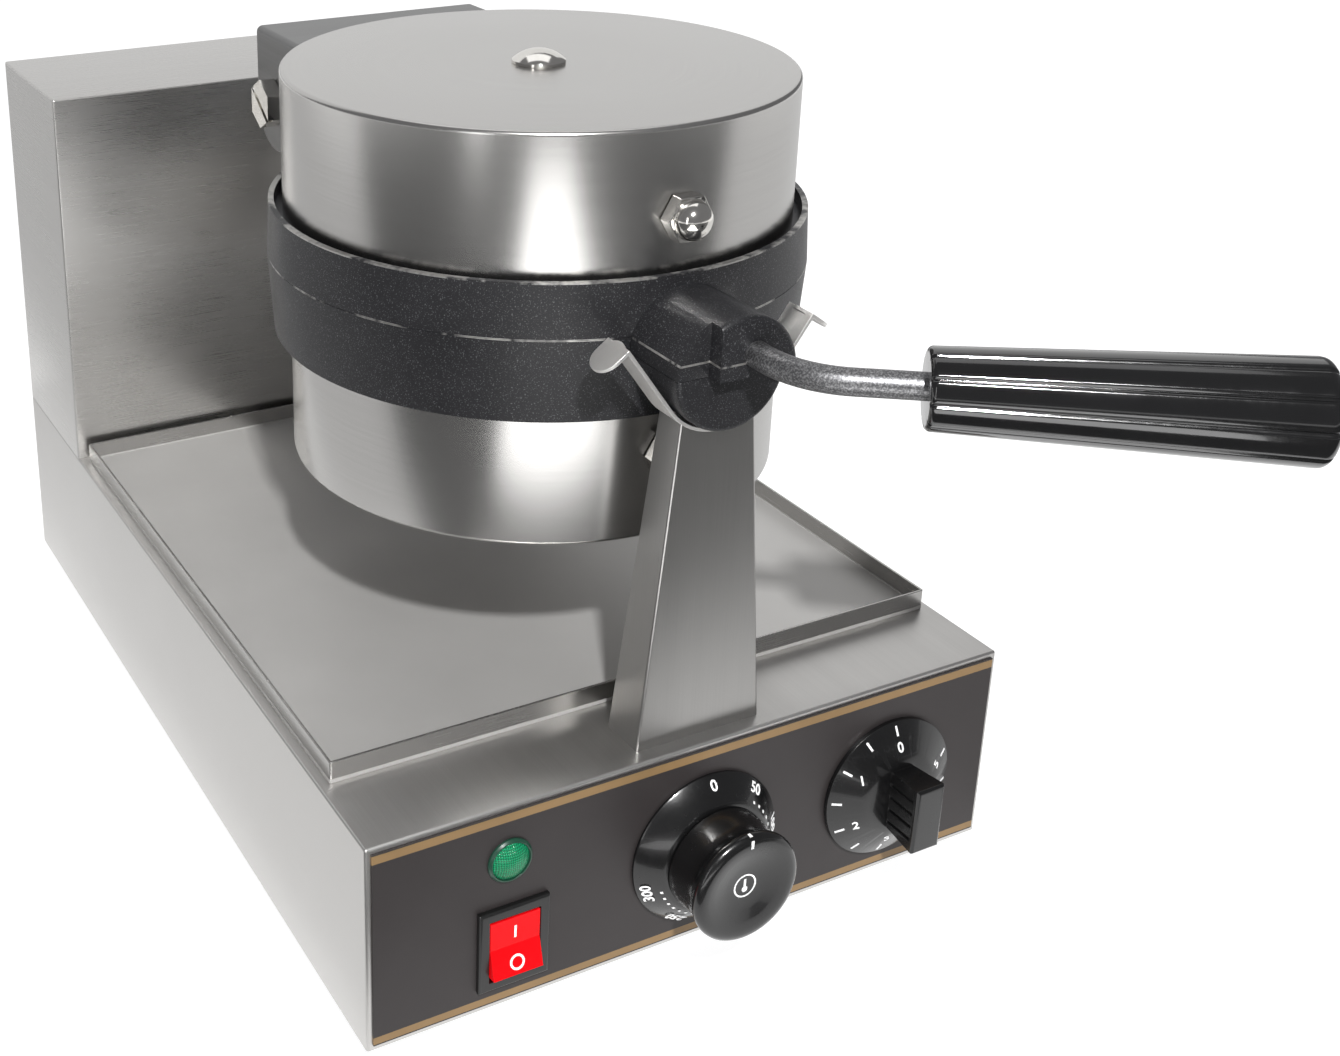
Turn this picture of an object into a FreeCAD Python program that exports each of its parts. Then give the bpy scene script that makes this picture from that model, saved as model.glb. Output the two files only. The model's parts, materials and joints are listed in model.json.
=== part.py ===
import FreeCAD, Part
import math
import os

# Waffle cone maker with one turning head: a sheet steel stand, a front post with a cradle,
# a rear tower that carries the turning shaft, and two hinged cooking plates in steel casings.
# Millimetres, +X right, +Y towards the tower, +Z up. Origin on the bench between the four feet.

V = FreeCAD.Vector
RIGHT = V(1, 0, 0)
BACKWARD = V(0, 1, 0)
FORWARD = V(0, -1, 0)
UP = V(0, 0, 1)
DOWN = V(0, 0, -1)
SIDES = (-1, 1)

# Clearances
FIT = 0.05
SKIN_GAP = 0.3
HEAD_CROWN = 0.7
SEAM_GAP = 0.2
SLIDE_GAP = 1.0

# Sheet steel
SHEET = 1.2
FOLD_R = 0.9

# Rubber feet and their screws
FOOT_H = 10.0
FOOT_R = 10.0
FOOT_INSET = 22.0
FOOT_SINK = 8.0
FOOT_SCREW_R = 2.0
FOOT_HEAD_R = 4.0
FOOT_HEAD_H = 2.0
FOOT_NUT_AF = 7.0
FOOT_NUT_H = 3.2

# Base and control panel
BASE_W = 250.0
BASE_H = 77.0
BASE_LIP = 36.0
PANEL_T = 0.8
PANEL_MARGIN = 2.0
VENT_L = 60.0
VENT_W = 5.0
VENT_PITCH = 14.0
VENT_COUNT = 6

# Tower
TOWER_D = 76.5
TOWER_CAP = 29.4
TOWER_LIP = 12.0
WIRE_GATE_W = 120.0
WIRE_GATE_D = 30.0
COVER_INSET = 5.0
COVER_SCREW_R = 2.0
COVER_SCREW_L = 7.0
COVER_HEAD_R = 3.8
COVER_HEAD_H = 2.2

# Front post and cradle strip
POST_SETBACK = 5.8
POST_FOOT_W = 48.7
POST_TOP_W = 28.5
POST_FOOT_D = 17.0
POST_TOP_D = 10.7
POST_SCREW_PITCH = 26.0
STRIP_W = 12.0
STRIP_T = 1.2
CRADLE_GAP = 0.95
WING_ANGLE = 36.0
WING_RISE = 10.0
TAB_L = 11.0
TAB_ANGLE = 36.0

# Drip tray
TRAY_WALL_H = 8.0
TRAY_T = 1.0
TRAY_SIDE_GAP = 4.0
TRAY_FRONT_GAP = 12.0
TRAY_BACK_GAP = 3.5

# Head: cast plates with ring rims
POST_TO_RING = 19.0
RING_R = 96.0
RING_TO_TOWER = 82.7
AXIS_RISE = 133.0
SEAM_OFFSET = 5.0
RING_UP = 18.7
RING_DOWN = 28.7
RING_DRAFT_UP = 1.0
RING_DRAFT_DOWN = 2.0
RIM_T = 2.0
GROOVE_UP_W = 3.0
GROOVE_DOWN_W = 4.0
SEAL_W = 5.0
GUTTER_W = 4.0
GUTTER_D = 4.0
PLATE_BACK = 13.7
PLATE_GAP = 1.6
GRID_PITCH = 11.0
GRID_W = 2.4
GRID_D = 1.4
GRID_EDGE = 2.0
PILLAR_R = 9.0
PILLAR_H = 16.0
LUG_W = 60.0
LUG_H = 20.0

# Front boss, handle socket and handle
BOSS_R = 20.0
BOSS_OVERHANG = 6.0
BOSS_ROUND = 1.5
SOCKET_L = 6.0
SOCKET_ROUND = 2.0
SOCKET_SIDE = 9.0
SOCKET_DEPTH = 20.0
ROD_R = 4.25
ROD_ASIDE = 3.5
ROD_ABOVE_AXIS = 7.5
ROD_REACH = 27.0
ROD_BEND_R = 30.0
ROD_BEND_ANGLE = 54.6
ROD_TO_GRIP = 36.0
GRIP_L = 109.0
GRIP_R_NEAR = 12.4
GRIP_R_FAR = 15.8
GRIP_ROUND = 3.0
GRIP_BORE_L = 70.0
FLUTE_COUNT = 10
FLUTE_R = 1.1

# Casings, straps, heaters
CASE_T = 0.8
CASE_UP = 65.2
CASE_DOWN = 76.0
CASE_ROUND = 1.6
STRAP_RISE = 36.0
STRAP_W = 20.0
STRAP_T = 3.0
STRAP_TAB_H = 18.0
STUD_R = 3.0
CAP_NUT_AF = 13.0
CAP_NUT_HEX_H = 5.0
CAP_NUT_L = 11.5
CAP_DOME_R = 5.8
CASE_SCREW_R = 4.0
CASE_SCREW_BITE = 12.0
DOME_R = 9.5
DOME_H = 5.0
DOME_RIM_H = 1.2
HEATER_RING_R = 55.0
HEATER_R = 4.0
INSULATION_GAP = 2.0

# Lid hinge
HINGE_BACK = 26.2
HINGE_RISE = 28.0
HINGE_SCREW_R = 5.0
HINGE_HEAD_AF = 17.0
HINGE_HEAD_H = 6.5
HINGE_SLOT_W = 2.0
HINGE_SLOT_D = 2.0
BRACKET_W = 99.0
BRACKET_T = 2.5
BRACKET_TOP_RISE = 27.5
BRACKET_REAR = 18.0
BRACKET_ROUND = 20.0
BRACKET_RING_GAP = 2.3
BRACKET_WEB_T = 3.0
BRACKET_SCREW_R = 2.5
BRACKET_SCREW_PITCH = 28.0
BRACKET_SCREW_BITE = 5.0
BRACKET_HEAD_R = 4.5
BRACKET_HEAD_H = 3.0
YOKE_GAP = 0.5
YOKE_T = 4.0
YOKE_TO_RING = 7.2
YOKE_EAR_R = 14.0
YOKE_SCREW_R = 3.0
YOKE_SCREW_PITCH = 40.0
YOKE_SCREW_BITE = 12.0
YOKE_HEAD_R = 5.0
YOKE_HEAD_H = 4.0

# Turning shaft and bearing
SHAFT_R = 8.0
SHAFT_BORE_R = 5.0
SHAFT_FLANGE_R = 16.0
SHAFT_FLANGE_T = 4.0
SHOULDER_R = 12.0
SHOULDER_L = 6.0
BUSH_T = 3.0
BUSH_FLANGE_R = 16.0
BUSH_FLANGE_T = 2.0
BUSH_L = 18.0
HOUSING_W = 50.0
HOUSING_H = 46.0
BEARING_ROOM = 26.0
HOUSING_SCREW_R = 2.5
HOUSING_SCREW_INSET = 6.0
HOUSING_SCREW_BITE = 10.0
HOUSING_HEAD_R = 4.5
HOUSING_HEAD_H = 2.5
COLLAR_R = 14.0
COLLAR_L = 8.0

# Controls on the panel: places are from the middle and from the base's lower edge
LAMP_INSET = 50.0
LAMP_RISE = 57.0
LAMP_R = 8.0
LAMP_RIM_T = 1.5
LAMP_BARREL_R = 6.0
LAMP_BARREL_L = 24.0
LENS_R = 6.8
LENS_H = 3.0
SWITCH_INSET = 51.5
SWITCH_RISE = 24.5
SWITCH_W = 26.0
SWITCH_H = 31.0
SWITCH_RIM_T = 2.2
SWITCH_RIM_W = 2.2
SWITCH_BODY_D = 22.0
SWITCH_BODY_T = 1.4
ROCKER_GAP = 0.6
ROCKER_TILT = 8.0
ROCKER_BACK = 3.0
ROCKER_FACE = 4.6
ROCKER_PIN_R = 1.2
ROCKER_PIN_L = 0.9
DIAL_X = 0.0
DIAL_RISE = 37.0
DIAL_R = 28.5
DIAL_TOP_R = 20.5
DIAL_H = 8.0
DIAL_EDGE_H = 1.6
KNOB_NECK_R = 16.6
KNOB_RIM_R = 19.0
KNOB_L = 18.0
KNOB_RIM_L = 5.0
KNOB_DISH = 2.6
KNOB_DISH_R = 14.0
TIMER_INSET = 47.0
TIMER_RISE = 36.0
TIMER_SKIRT_R = 27.0
TIMER_TOP_R = 14.5
TIMER_SKIRT_H = 8.0
TIMER_EDGE_H = 1.6
TIMER_GRIP_W = 9.5
TIMER_GRIP_H = 23.0
TIMER_GRIP_L = 15.0
TIMER_RIB_COUNT = 4
TIMER_RIB_W = 1.2
TIMER_RIB_D = 0.5
SPINDLE_R = 3.0
SPINDLE_BITE = 10.0
NECK_R = 5.0
NECK_L = 4.0
CONTROL_BODY_W = 42.0
CONTROL_BODY_D = 32.0

# Mains entry
GLAND_INSET = 55.0
GLAND_RISE = 30.0
GLAND_BORE_R = 4.0
GLAND_R = 8.0
GLAND_AF = 22.0
GLAND_HEX_T = 6.0
GLAND_CAP_R = 10.0
GLAND_CAP_L = 12.0
GLAND_CAP_WALL = 0.6
GLAND_THREAD_L = 10.0
GLAND_NUT_T = 5.0
TERMINAL_L = 46.0
TERMINAL_D = 20.0
TERMINAL_H = 18.0
TERMINAL_WAYS = 4
TERMINAL_HOLE_R = 2.5
TERMINAL_HOLE_D = 8.0

# Places that follow from the sizes
BASE_D = POST_SETBACK + POST_TO_RING + 2 * RING_R + RING_TO_TOWER + TOWER_D
SIDE = BASE_W / 2
LAMP_X = LAMP_INSET - SIDE
SWITCH_X = SWITCH_INSET - SIDE
TIMER_X = SIDE - TIMER_INSET
GLAND_X = GLAND_INSET - SIDE
FRONT = -BASE_D / 2
BACK = BASE_D / 2
PLATE_TOP = FOOT_H + SHEET
BASE_TOP = FOOT_H + BASE_H
PANEL_FRONT = FRONT - PANEL_T
INNER_FRONT = FRONT + SHEET
TOWER_FRONT = BACK - TOWER_D
AXIS_Z = BASE_TOP + AXIS_RISE
SEAM_Z = AXIS_Z + SEAM_OFFSET
TOWER_TOP = AXIS_Z + TOWER_CAP
POST_FRONT = FRONT + POST_SETBACK
HEAD_Y = POST_FRONT + POST_TO_RING + RING_R
RING_REAR = HEAD_Y + RING_R
CASE_R_UP = RING_R - RING_DRAFT_UP - RIM_T - GROOVE_UP_W
CASE_R_DOWN = RING_R - RING_DRAFT_DOWN - RIM_T - GROOVE_DOWN_W
COOK_R = RING_R - SEAL_W - GUTTER_W
BOSS_FRONT = POST_FRONT - BOSS_OVERHANG
SOCKET_FRONT = BOSS_FRONT - SOCKET_L
ROD_Z = AXIS_Z + ROD_ABOVE_AXIS
HINGE_Y = RING_REAR + HINGE_BACK
HINGE_Z = SEAM_Z + HINGE_RISE
YOKE_FRONT = RING_REAR + YOKE_TO_RING
YOKE_BACK = YOKE_FRONT + YOKE_T
YOKE_HALF = BRACKET_W / 2 - BRACKET_T - YOKE_GAP
LUG_TOP = SEAM_Z - SEAM_GAP - RING_DRAFT_DOWN
LUG_BOTTOM = LUG_TOP - LUG_H
HOUSING_FRONT = TOWER_FRONT + SHEET
HOUSING_BACK = BACK - BEARING_ROOM
BUSH_R = SHAFT_R + BUSH_T
SHAFT_BACK = HOUSING_BACK + BUSH_FLANGE_T + SKIN_GAP + COLLAR_L
BRACKET_WEB_FRONT = HEAD_Y + CASE_R_UP + SKIN_GAP
FAR = 2 * BASE_D


def block(x0, x1, y0, y1, z0, z1):
    return Part.makeBox(x1 - x0, y1 - y0, z1 - z0, V(x0, y0, z0))


def bar(radius, start, direction, length):
    return Part.makeCylinder(radius, length, start, direction)


def prism(points, sweep):
    return Part.Face(Part.makePolygon(points + points[:1])).extrude(sweep)


def turned(profile, base, direction):
    """A solid of revolution from (radius, height) points, standing on base along direction."""
    points = [V(r, 0, h) for r, h in profile]
    solid = Part.Face(Part.makePolygon(points + points[:1])).revolve(V(), UP, 360)
    if solid.Volume < 0:
        solid.reverse()
    solid.Placement = FreeCAD.Placement(base, FreeCAD.Rotation(UP, direction))
    return solid


def hexagon(across_flats, base, direction, height):
    corner = across_flats / math.sqrt(3)
    angles = [math.radians(60 * n) for n in range(6)]
    points = [V(corner * math.cos(a), corner * math.sin(a), 0) for a in angles]
    solid = prism(points, UP * height)
    solid.Placement = FreeCAD.Placement(base, FreeCAD.Rotation(UP, direction))
    return solid


def joined(first, *rest):
    return first.multiFuse(list(rest))


def less(shape, *tools):
    return shape.cut(list(tools))


def rounded(shape, radius, chosen):
    return shape.makeFillet(radius, [edge for edge in shape.Edges if chosen(edge)])


def save(name, *shapes):
    solids = [solid for shape in shapes for solid in shape.Solids]
    whole = solids[0] if len(solids) == 1 else Part.makeCompound(solids)
    if not whole.isValid():
        raise ValueError("not a valid solid: " + name)
    whole.exportStep("parts/" + name + ".step")


def screw(seat, direction, shank_r, shank_l, head_r, head_h):
    """A round-headed screw: the head stands on seat, the shank runs along direction."""
    shank = bar(shank_r, seat, direction, shank_l)
    head = turned(
        [(0, 0), (head_r, 0), (head_r, head_h / 2), (head_r * HEAD_CROWN, head_h), (0, head_h)],
        seat, direction * -1)
    return joined(shank, head)


# Stand

def foot_places():
    x = SIDE - FOOT_INSET
    y = BACK - FOOT_INSET
    return [V(sx * x, sy * y, 0) for sx in SIDES for sy in SIDES]


def post_screw_places():
    y = POST_FRONT + POST_TOP_D
    return [V(side * POST_SCREW_PITCH / 2, y, BASE_TOP) for side in SIDES]


def tower_screw_places():
    x = SIDE - SHEET - TOWER_LIP / 2
    ys = (TOWER_FRONT + TOWER_LIP + SHEET, BACK - TOWER_LIP - SHEET)
    return [V(side * x, y, BASE_TOP) for side in SIDES for y in ys]


def sheet_box(x, y0, y1, z0, z1):
    """A folded sheet box with soft outer folds, still solid."""
    solid = block(-x, x, y0, y1, z0, z1)
    return rounded(solid, FOLD_R, lambda edge: edge.BoundBox.ZMax > z1 - FOLD_R)


def base_shell():
    shell = sheet_box(SIDE, FRONT, BACK, FOOT_H, BASE_TOP)
    inside = SIDE - SHEET
    shell = less(shell, block(-inside, inside, INNER_FRONT, BACK - SHEET, FOOT_H, BASE_TOP - SHEET))
    lips = []
    for side in SIDES:
        x0, x1 = sorted((side * inside, side * (inside - BASE_LIP)))
        lips.append(block(x0, x1, INNER_FRONT, BACK - SHEET, PLATE_TOP, PLATE_TOP + SHEET))
    shell = joined(shell, *lips)
    cuts = [bar(FOOT_SCREW_R + FIT, p, UP, FOOT_H + BASE_H / 2) for p in foot_places()]
    for place in post_screw_places() + tower_screw_places():
        cuts.append(bar(COVER_SCREW_R + FIT, place + UP * SHEET, DOWN, 3 * SHEET))
    gate_y = BACK - TOWER_D / 2
    cuts.append(block(-WIRE_GATE_W / 2, WIRE_GATE_W / 2, gate_y - WIRE_GATE_D / 2,
                      gate_y + WIRE_GATE_D / 2, BASE_TOP - 2 * SHEET, BASE_TOP + SHEET))
    cuts.append(bar(GLAND_R + FIT, gland_place() + FORWARD * 2 * SHEET, BACKWARD, 4 * SHEET))
    return less(shell, *(cuts + panel_cuts()))


def panel_cuts():
    """Holes through the front wall and the panel for the controls."""
    depth = 2 * (SHEET + PANEL_T)
    starts = (
        (LAMP_BARREL_R, lamp_place()),
        (NECK_R, dial_place()),
        (NECK_R, timer_place()))
    cuts = [bar(r + FIT, p + FORWARD * depth / 2, BACKWARD, 2 * depth) for r, p in starts]
    half_w = SWITCH_W / 2 - SWITCH_RIM_W + FIT
    half_h = SWITCH_H / 2 - SWITCH_RIM_W + FIT
    p = switch_place()
    cuts.append(block(p.x - half_w, p.x + half_w, p.y - depth, p.y + 2 * depth,
                      p.z - half_h, p.z + half_h))
    return cuts


def bottom_plate():
    x = SIDE - SHEET - SKIN_GAP
    plate = block(-x, x, INNER_FRONT + SKIN_GAP, BACK - SHEET - SKIN_GAP, FOOT_H, PLATE_TOP)
    cuts = [bar(FOOT_SCREW_R + FIT, p, UP, FOOT_H + BASE_H / 2) for p in foot_places()]
    first = -VENT_PITCH * (VENT_COUNT - 1) / 2
    for n in range(VENT_COUNT):
        y = first + n * VENT_PITCH
        cuts.append(block(-VENT_L / 2, VENT_L / 2, y - VENT_W / 2, y + VENT_W / 2, 0, BASE_H))
    return less(plate, *cuts)


def rubber_feet():
    """Feet moulded round the heads of their screws, solid below."""
    hole_r = FOOT_SCREW_R + FIT
    pocket_r = FOOT_HEAD_R + FIT
    pocket_z = FOOT_SINK - FOOT_HEAD_H - FIT
    profile = [(0, 0), (FOOT_R, 0), (FOOT_R, FOOT_H), (hole_r, FOOT_H), (hole_r, FOOT_SINK),
               (pocket_r, FOOT_SINK), (pocket_r, pocket_z), (0, pocket_z)]
    return [turned(profile, p, UP) for p in foot_places()]


def foot_screws():
    length = PLATE_TOP + SHEET + FOOT_NUT_H - FOOT_SINK
    return [screw(p + UP * FOOT_SINK, UP, FOOT_SCREW_R, length, FOOT_HEAD_R, FOOT_HEAD_H)
            for p in foot_places()]


def foot_nuts():
    nuts = []
    for p in foot_places():
        seat = p + UP * (PLATE_TOP + SHEET)
        nuts.append(less(hexagon(FOOT_NUT_AF, seat, UP, FOOT_NUT_H),
                         bar(FOOT_SCREW_R + FIT, seat, UP, FOOT_NUT_H)))
    return nuts


def control_panel():
    x = SIDE - PANEL_MARGIN
    plate = block(-x, x, PANEL_FRONT, FRONT, FOOT_H + PANEL_MARGIN, BASE_TOP - PANEL_MARGIN)
    return less(plate, *panel_cuts())


def tower_shell():
    shell = sheet_box(SIDE, TOWER_FRONT, BACK, BASE_TOP, TOWER_TOP)
    inside = SIDE - SHEET
    mouth = inside - TOWER_LIP
    shell = less(
        shell,
        block(-inside, inside, TOWER_FRONT + SHEET, BACK - SHEET, BASE_TOP + SHEET, TOWER_TOP - SHEET),
        block(-mouth, mouth, BACK - 2 * SHEET, BACK + SHEET,
              BASE_TOP + TOWER_LIP, TOWER_TOP - TOWER_LIP),
        block(-mouth, mouth, TOWER_FRONT + SHEET + TOWER_LIP, BACK - TOWER_LIP,
              BASE_TOP - SHEET, BASE_TOP + 2 * SHEET),
        bar(BUSH_R + FIT, V(0, TOWER_FRONT - SHEET, AXIS_Z), BACKWARD, 3 * SHEET))
    cuts = [bar(COVER_SCREW_R + FIT, p + DOWN * SHEET, UP, 3 * SHEET) for p in tower_screw_places()]
    for p in cover_screw_places():
        cuts.append(bar(COVER_SCREW_R + FIT, p + BACKWARD * SHEET, FORWARD, 4 * SHEET))
    for p in housing_screw_places():
        cuts.append(bar(HOUSING_SCREW_R + FIT, p + FORWARD * SHEET, BACKWARD, 3 * SHEET))
    return less(shell, *cuts)


def cover_screw_places():
    x = SIDE - SHEET - TOWER_LIP / 2
    zs = (BASE_TOP + SHEET + TOWER_LIP / 2, TOWER_TOP - SHEET - TOWER_LIP / 2)
    return [V(side * x, BACK, z) for side in SIDES for z in zs]


def tower_back_cover():
    x = SIDE - COVER_INSET
    cover = block(-x, x, BACK, BACK + SHEET, BASE_TOP + COVER_INSET, TOWER_TOP - COVER_INSET)
    cuts = [bar(COVER_SCREW_R + FIT, p + FORWARD * SHEET, BACKWARD, 3 * SHEET)
            for p in cover_screw_places()]
    first = (BASE_TOP + TOWER_TOP) / 2 - VENT_PITCH * (VENT_COUNT - 1) / 2
    for n in range(VENT_COUNT):
        z = first + n * VENT_PITCH
        for side in SIDES:
            middle = side * SIDE / 2
            cuts.append(block(middle - VENT_L / 2, middle + VENT_L / 2, BACK - SHEET, BACK + 2 * SHEET,
                              z - VENT_W / 2, z + VENT_W / 2))
    return less(cover, *cuts)


def back_cover_screws():
    return [screw(p + BACKWARD * SHEET, FORWARD, COVER_SCREW_R, COVER_SCREW_L, COVER_HEAD_R, COVER_HEAD_H)
            for p in cover_screw_places()]


def tower_screws():
    return [screw(p + UP * SHEET, DOWN, COVER_SCREW_R, COVER_SCREW_L, COVER_HEAD_R, COVER_HEAD_H)
            for p in tower_screw_places()]


# Front post and tray

def post_outline(inset, y):
    """The post's tapered front, seen from the front, drawn in by inset on both flanks."""
    top = AXIS_Z
    slope = (POST_FOOT_W - POST_TOP_W) / 2 / (AXIS_RISE - BOSS_R)
    foot = POST_FOOT_W / 2 - inset
    head = foot - slope * AXIS_RISE
    return [V(-foot, y, BASE_TOP), V(foot, y, BASE_TOP), V(head, y, top), V(-head, y, top)]


def front_post():
    solid = prism(post_outline(0, POST_FRONT), BACKWARD * POST_FOOT_D)
    solid = rounded(solid, FOLD_R, lambda edge: edge.BoundBox.YMax < POST_FRONT + FOLD_R
                    and edge.BoundBox.ZLength > BOSS_R)
    hollow = prism(post_outline(SHEET, POST_FRONT + SHEET), BACKWARD * POST_FOOT_D)
    hollow.translate(UP * SHEET)
    saddle = bar(BOSS_R + CRADLE_GAP + STRIP_T + FIT, V(0, POST_FRONT - SHEET, AXIS_Z), BACKWARD, FAR)
    rear = POST_FRONT + POST_FOOT_D
    top = POST_FRONT + POST_TOP_D
    half = POST_FOOT_W
    wedge = prism([V(-half, rear, BASE_TOP + SHEET), V(-half, top, AXIS_Z),
                   V(-half, rear + SHEET, AXIS_Z), V(-half, rear + SHEET, BASE_TOP + SHEET)],
                  RIGHT * 2 * half)
    above = block(-half, half, POST_FRONT - SHEET, rear + SHEET, AXIS_Z - BOSS_R / 2, FAR)
    holes = [bar(COVER_SCREW_R + FIT, p + DOWN * SHEET, UP, 3 * SHEET) for p in post_screw_places()]
    return less(solid, hollow, saddle, wedge, above, *holes)


def post_screws():
    return [screw(p + UP * SHEET, DOWN, COVER_SCREW_R, COVER_SCREW_L, COVER_HEAD_R, COVER_HEAD_H)
            for p in post_screw_places()]


def cradle_clip():
    """A bent strip: an arc under the boss, two wings tangent to it, and turned-down end tabs."""
    y = POST_FRONT - FIT
    inner = BOSS_R + CRADLE_GAP
    outer = inner + STRIP_T
    beta = math.radians(WING_ANGLE)
    across = V(-math.cos(beta), 0, -math.sin(beta))
    along = V(-math.sin(beta), 0, math.cos(beta))
    centre = V(0, y, AXIS_Z)
    ring = less(bar(outer, centre, BACKWARD, STRIP_W), bar(inner, centre, BACKWARD, STRIP_W))
    reach = 2 * outer
    keep = prism([centre, centre + across * reach, centre + V(-reach, 0, -reach),
                  centre + V(reach, 0, -reach), centre + V(-across.x, 0, across.z) * reach],
                 BACKWARD * STRIP_W)
    arc = ring.common(keep)
    wing_l = (WING_RISE + inner * math.sin(beta)) / math.cos(beta)
    start = centre + across * inner
    end = start + along * wing_l
    left_wing = prism([start, start + across * STRIP_T, end + across * STRIP_T, end],
                      BACKWARD * STRIP_W)
    fold = math.radians(TAB_ANGLE)
    out = V(-math.cos(fold), 0, -math.sin(fold))
    lift = V(-math.sin(fold), 0, math.cos(fold))
    flat = TAB_L - STRIP_W / 2
    left_tab = joined(
        prism([end, end + out * flat, end + out * flat + lift * STRIP_T, end + lift * STRIP_T],
              BACKWARD * STRIP_W),
        bar(STRIP_W / 2, end + out * flat + BACKWARD * STRIP_W / 2, lift, STRIP_T))
    fillet = prism([end, end + across * STRIP_T, end + lift * STRIP_T], BACKWARD * STRIP_W)
    left = joined(left_wing, left_tab, fillet)
    right = left.mirror(V(), RIGHT)
    return joined(arc, left, right)


def drip_tray():
    x = SIDE - TRAY_SIDE_GAP
    y0 = POST_FRONT + POST_FOOT_D + TRAY_FRONT_GAP
    y1 = TOWER_FRONT - TRAY_BACK_GAP
    top = BASE_TOP + TRAY_WALL_H
    tray = block(-x, x, y0, y1, BASE_TOP, top)
    tray = rounded(tray, FOLD_R, lambda edge: edge.BoundBox.ZLength > TRAY_WALL_H / 2)
    return less(tray, block(-x + TRAY_T, x - TRAY_T, y0 + TRAY_T, y1 - TRAY_T, BASE_TOP + TRAY_T, top))


# Controls

def panel_place(x, rise):
    return V(x, PANEL_FRONT, FOOT_H + rise)


def lamp_place():
    return panel_place(LAMP_X, LAMP_RISE)


def switch_place():
    return panel_place(SWITCH_X, SWITCH_RISE)


def dial_place():
    return panel_place(DIAL_X, DIAL_RISE)


def timer_place():
    return panel_place(TIMER_X, TIMER_RISE)


def pilot_lamp_body():
    bezel = turned([(0, 0), (LAMP_R, 0), (LAMP_R, LAMP_RIM_T / 2), (LAMP_R - LAMP_RIM_T / 2, LAMP_RIM_T),
                    (0, LAMP_RIM_T)], lamp_place(), FORWARD)
    barrel = bar(LAMP_BARREL_R, lamp_place(), BACKWARD, LAMP_BARREL_L)
    seat = bar(LENS_R + FIT, lamp_place() + FORWARD * LAMP_RIM_T / 2, FORWARD, LAMP_RIM_T)
    return less(joined(bezel, barrel), seat)


def pilot_lamp_lens():
    seat = lamp_place() + FORWARD * LAMP_RIM_T / 2
    ball_r = (LENS_R ** 2 + LENS_H ** 2) / (2 * LENS_H)
    ball = Part.makeSphere(ball_r, seat + BACKWARD * (ball_r - LENS_H))
    front = block(seat.x - ball_r, seat.x + ball_r, seat.y - 2 * LENS_H, seat.y,
                  seat.z - ball_r, seat.z + ball_r)
    return ball.common(front)


def rocker_pivot():
    return switch_place() + FORWARD * (SWITCH_RIM_T - ROCKER_FACE)


def switch_housing():
    p = switch_place()
    half_w = SWITCH_W / 2
    half_h = SWITCH_H / 2
    rim = block(p.x - half_w, p.x + half_w, p.y - SWITCH_RIM_T, p.y, p.z - half_h, p.z + half_h)
    rim = rounded(rim, SWITCH_RIM_T / 2, lambda edge: edge.BoundBox.YMax < p.y - SWITCH_RIM_T / 2)
    body_w = half_w - SWITCH_RIM_W
    body_h = half_h - SWITCH_RIM_W
    body = block(p.x - body_w, p.x + body_w, p.y, p.y + SWITCH_BODY_D, p.z - body_h, p.z + body_h)
    pocket_w = body_w - SWITCH_BODY_T
    pocket_h = body_h - SWITCH_BODY_T
    depth = p.y + SWITCH_BODY_D / 2
    pocket = block(p.x - pocket_w, p.x + pocket_w, p.y - SWITCH_RIM_T, depth,
                   p.z - pocket_h, p.z + pocket_h)
    pin_l = 2 * (pocket_w + ROCKER_PIN_L)
    pins = bar(ROCKER_PIN_R + FIT, rocker_pivot() - RIGHT * pin_l / 2, RIGHT, pin_l)
    return less(joined(rim, body), pocket, pins)


def switch_rocker():
    """A rocker with a hollow face of two flats, stored with its upper half pressed in."""
    p = rocker_pivot()
    half_w = SWITCH_W / 2 - SWITCH_RIM_W - SWITCH_BODY_T - ROCKER_GAP / 2
    room = SWITCH_H / 2 - SWITCH_RIM_W - SWITCH_BODY_T - ROCKER_GAP
    tilt = math.radians(ROCKER_TILT)
    half_h = (room * math.cos(tilt) - ROCKER_FACE * math.sin(tilt)) / (1 + math.tan(tilt) * math.sin(tilt))
    tip = ROCKER_FACE + half_h * math.tan(tilt)
    start = p - RIGHT * half_w
    profile = [start + V(0, -ROCKER_FACE, 0), start + V(0, -tip, half_h), start + V(0, ROCKER_BACK, half_h),
               start + V(0, ROCKER_BACK, -half_h), start + V(0, -tip, -half_h)]
    pin_l = half_w + ROCKER_GAP / 2 + ROCKER_PIN_L - FIT
    rocker = joined(prism(profile, RIGHT * 2 * half_w),
                    bar(ROCKER_PIN_R, p - RIGHT * pin_l, RIGHT, 2 * pin_l))
    rocker.rotate(p, RIGHT, -ROCKER_TILT)
    return rocker


def control_body(place):
    """A thermostat or timer case behind the front wall, with its threaded neck through the panel."""
    half = CONTROL_BODY_W / 2
    wall = INNER_FRONT
    case = block(place.x - half, place.x + half, wall, wall + CONTROL_BODY_D,
                 place.z - half, place.z + half)
    neck = bar(NECK_R, V(place.x, PANEL_FRONT - NECK_L, place.z), BACKWARD, NECK_L + PANEL_T + SHEET)
    bore = bar(SPINDLE_R + FIT, V(place.x, PANEL_FRONT - NECK_L, place.z), BACKWARD,
               NECK_L + PANEL_T + SHEET + SPINDLE_BITE)
    return less(joined(case, neck), bore)


def spindle(place, knob_depth):
    start = V(place.x, INNER_FRONT + SPINDLE_BITE - FIT, place.z)
    return bar(SPINDLE_R, start, FORWARD, start.y - knob_depth)


def thermostat_dial_ring():
    inner = NECK_R + SLIDE_GAP
    profile = [(inner, 0), (DIAL_R, 0), (DIAL_R, DIAL_EDGE_H), (DIAL_TOP_R, DIAL_H), (inner, DIAL_H)]
    return turned(profile, dial_place(), FORWARD)


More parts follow.
